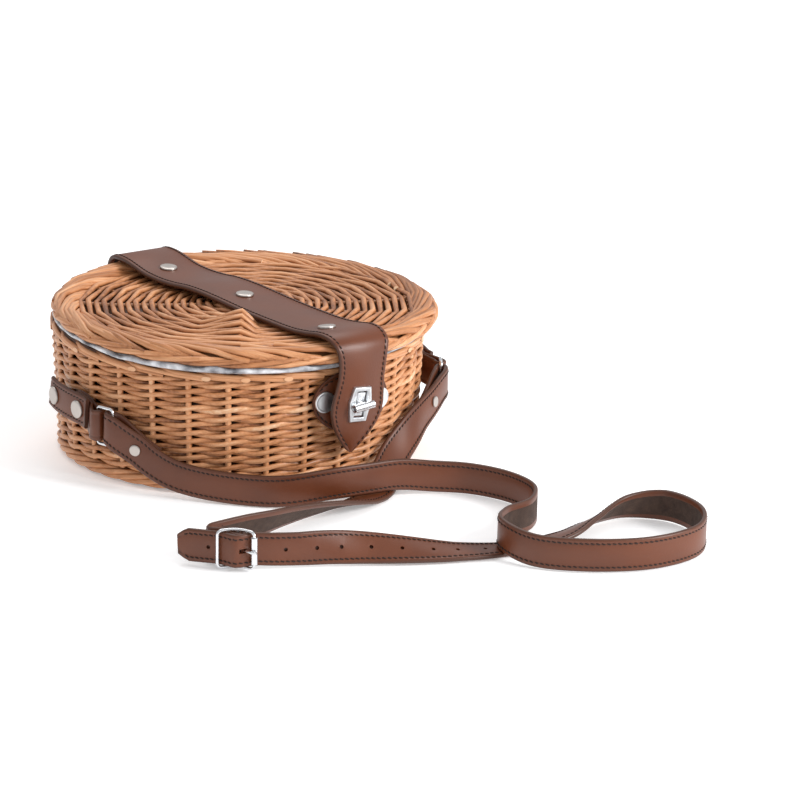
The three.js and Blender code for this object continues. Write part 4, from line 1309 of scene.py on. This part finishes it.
def makeLidPanel():
    s = lidWeave
    parts = PieceMesh()
    addDiscWeave(parts, s, onLid, lidMiddle, 1)
    angle = allRound(72)
    low = np.minimum(underLid(s["coreUnder"], angle), s["coreLow"])
    addCore(parts, onLid, angle, *s["core"], low, s["coreTop"], s["coreShadeTone"])
    return wickerPiece("lid_panel", parts)


borderWeave = {
    "rods": 4, "span": 43, "rod": 1.8, "under": 115, "follow": 0.75, "lean": 75,
    "tone": 0.58, "spread": 0.08, "shadedSide": (-20, 0.16), "tuckedShade": 0.15, "flank": 0.75,
    "loose": {"start": 1, "span": 4, "radius": 0.4, "height": 0.8},
    "cutEnds": 0.09, "cutUp": 2.8, "cutTone": 0.95, "tuckedTone": 0.4,
    "across": (0, 0.25, 0.5, 0.75, 1), "radius": (104, 108.4, 112.8, 117, 119.4),
    "inner": 88.6, "drops": (3.2, 1.9, 2.6), "outerRise": 3.6, "outerDrop": 8,
    "edge": {
        "strands": 3, "turns": 9, "rod": 1.7, "swing": 1.5, "leastSwing": 0.2, "below": 3, "radius": 117.8,
        "samples": 240, "splices": 8, "shade": 0.1,
    },
    "coreIn": 2.2, "core": (103, 110, 113.6, 115), "coreShadeTone": 0.4,
}


def borderHeights(angle):  # heights of the rods' middle over the border's section, for each angle
    s = borderWeave
    top = lidTop(angle)
    outer = np.maximum(underLid(s["under"], angle) + s["outerRise"], top - s["outerDrop"])
    return np.stack([np.full_like(top, s["inner"]), *(top - drop for drop in s["drops"]), outer], -1)


def borderChord(angle):  # the border follows the straight runs of the panel in part
    return 1 - borderWeave["follow"] + borderWeave["follow"] * chordAt(lidWeave["spokes"], angle)


def addBorderRods(parts):
    s = borderWeave
    loose = s["loose"]
    u = np.linspace(0, 1, 30)
    spokes = lidWeave["spokes"]
    for k in range((len(spokes) - 1) * s["rods"]):
        first = np.interp(k / s["rods"], np.arange(len(spokes)), spokes) + chance.normal(0, loose["start"])
        angle = first + (s["span"] + chance.normal(0, loose["span"])) * u
        radial = np.interp(u, s["across"], s["radius"]) * borderChord(angle)
        radial += chance.normal(0, loose["radius"]) * np.sin(np.pi * u)
        height = np.array([np.interp(at, s["across"], row) for at, row in zip(u, borderHeights(angle))])
        height -= abs(chance.normal(0, loose["height"])) * np.sin(np.pi * u)
        cutEnd = chance.random() < s["cutEnds"]
        height += s["cutUp"] * cutEnd * (1 - smoothStep(0, 0.25, u))  # a few ends lie on top
        steep = np.radians(np.interp(u, (0.4, 1), (0, s["lean"])))[:, None]
        facing = outward(angle) * np.sin(steep) + np.array([0, 0, 1]) * np.cos(steep)
        tone = chance.normal(s["tone"], s["spread"]) - s["tuckedShade"] * smoothStep(0.85, 1, u)
        # painted shade: the border is toned darker round -20 degrees, for the shade in its gaps there
        tone -= s["shadedSide"][1] * sided(angle, s["shadedSide"][0], 2)
        # painted shade: tucked ends and their caps are toned darker, and flank sets how much painted shade
        # each rod's flanks take
        parts.addRod(onLid(radial, angle, height), facing, s["rod"] * mm, tone=tone,
                     capTone=s["cutTone"] if cutEnd else s["tuckedTone"], dark=s["flank"])


def addEdgeRope(parts):
    s = borderWeave["edge"]
    angle = allRound(s["samples"])
    low = underLid(borderWeave["under"], angle)
    rise = np.clip((lidTop(angle) - low - s["below"]) / 2 - s["rod"], s["leastSwing"], s["swing"])
    for strand in range(s["strands"]):
        turn = np.radians(angle * s["turns"] + 360 * strand / s["strands"])
        radial = s["radius"] + s["swing"] * np.cos(turn)
        line = onLid(radial, angle, low + s["rod"] + rise * (1 + np.sin(turn)))
        tone = rodTones(s["samples"], s["splices"], borderWeave["tone"], borderWeave["spread"])
        tone -= s["shade"] * (1 - np.cos(turn))
        parts.addRod(line, outward(angle) + np.array([0, 0, 0.5]), s["rod"] * mm, tone=tone, loop=True)


def makeLidBorder():
    s = borderWeave
    parts = PieceMesh()
    addBorderRods(parts)
    addEdgeRope(parts)
    angle = allRound(144)
    low = underLid(s["under"], angle)
    heights = borderHeights(angle) - s["coreIn"]
    inner, middle, shoulder, outer = (radius * borderChord(angle) for radius in s["core"])
    section = [
        (inner, heights[:, 0]), (middle, heights[:, 2]), (shoulder, heights[:, 3]), (outer, heights[:, 4]),
        (outer, low), (inner, low),
    ]
    addTurned(parts, onLid, angle, section, s["coreShadeTone"])
    return wickerPiece("lid_border", parts)


for make in (makeWall, makeRim, makeFoot, makeBase, makeLidPanel, makeLidBorder):
    made = make()
    print(made.name, len(made.data.polygons), "faces")


# lining

liningSizes = {
    "steps": 240, "seam": 114, "edge": 117.2, "half": (2.4, 1.5), "twist": (0.35, 0.35),
    "tucked": 3.6, "from": (70, 100), "to": (180, 196),
    "fuller": (1.0, 0.6), "fullerFrom": (192, 216), "fullerTo": (258, 285),
    "pulls": ((0.4, 29, 0), (0.35, 43, 1), (0.3, 17, 2)),  # size, waves round the bag, phase
    "pulled": {"tall": 0.45, "up": 0.75, "out": 0.8, "turn": 0.6},
}


def addCup(parts, angle):
    seam, middle = liningSizes["seam"], basket["middle"]
    low = seamAround(seam, angle) - basket["edge"] / 2
    wall = wallRadius(middle)
    section = [  # inside of the cup from its floor up, then its outside down
        (0.3, 8.4), (103.8, 8.4), (105.6, 11.2), (wall - 7.1, middle),
        (109, low + 2.2), (seam, low + 1.6), (seam, low + 0.3), (109.9, low + 0.1),
        (wall - 6.3, middle), (106.5, 10.9), (104.3, 7.45), (0.3, 7.45),
    ]
    addTurned(parts, polar, angle, section)


def addCupEdge(parts, angle):  # the puffed edge that shows at the seam
    s = liningSizes
    pulled = s["pulled"]
    middle = seamAround(s["seam"], angle)
    twist = np.sin(s["twist"][1] * drift(angle, s["twist"][0]))
    pull = sum(size * np.sin(np.radians(angle) * waves + phase) for size, waves, phase in s["pulls"])
    tucked = smoothStep(*s["from"], angle) * (1 - smoothStep(*s["to"], angle))
    fuller = smoothStep(*s["fullerFrom"], angle) * (1 - smoothStep(*s["fullerTo"], angle))
    edge = s["edge"] - s["tucked"] * tucked + s["fuller"][0] * fuller
    section = []
    for t in np.linspace(0, 2 * np.pi, 10, endpoint=False):
        wide = s["half"][0] * math.cos(t)
        tall = (s["half"][1] + s["fuller"][1] * fuller) * math.sin(t)
        height = middle + tall * (1 + pulled["tall"] * pull) + wide * twist + pulled["up"] * pull
        section.append((edge + wide + pulled["out"] * pull * math.sin(t + pulled["turn"]), height))
    addTurned(parts, polar, angle, section[::-1])


def makeLining():
    parts = PieceMesh()
    angle = allRound(liningSizes["steps"])
    addCup(parts, angle)
    addCupEdge(parts, angle)
    return addPiece("lining_cloth", parts.build("lining"), [satin], ["lining"])


makeLining()
print("lining made")
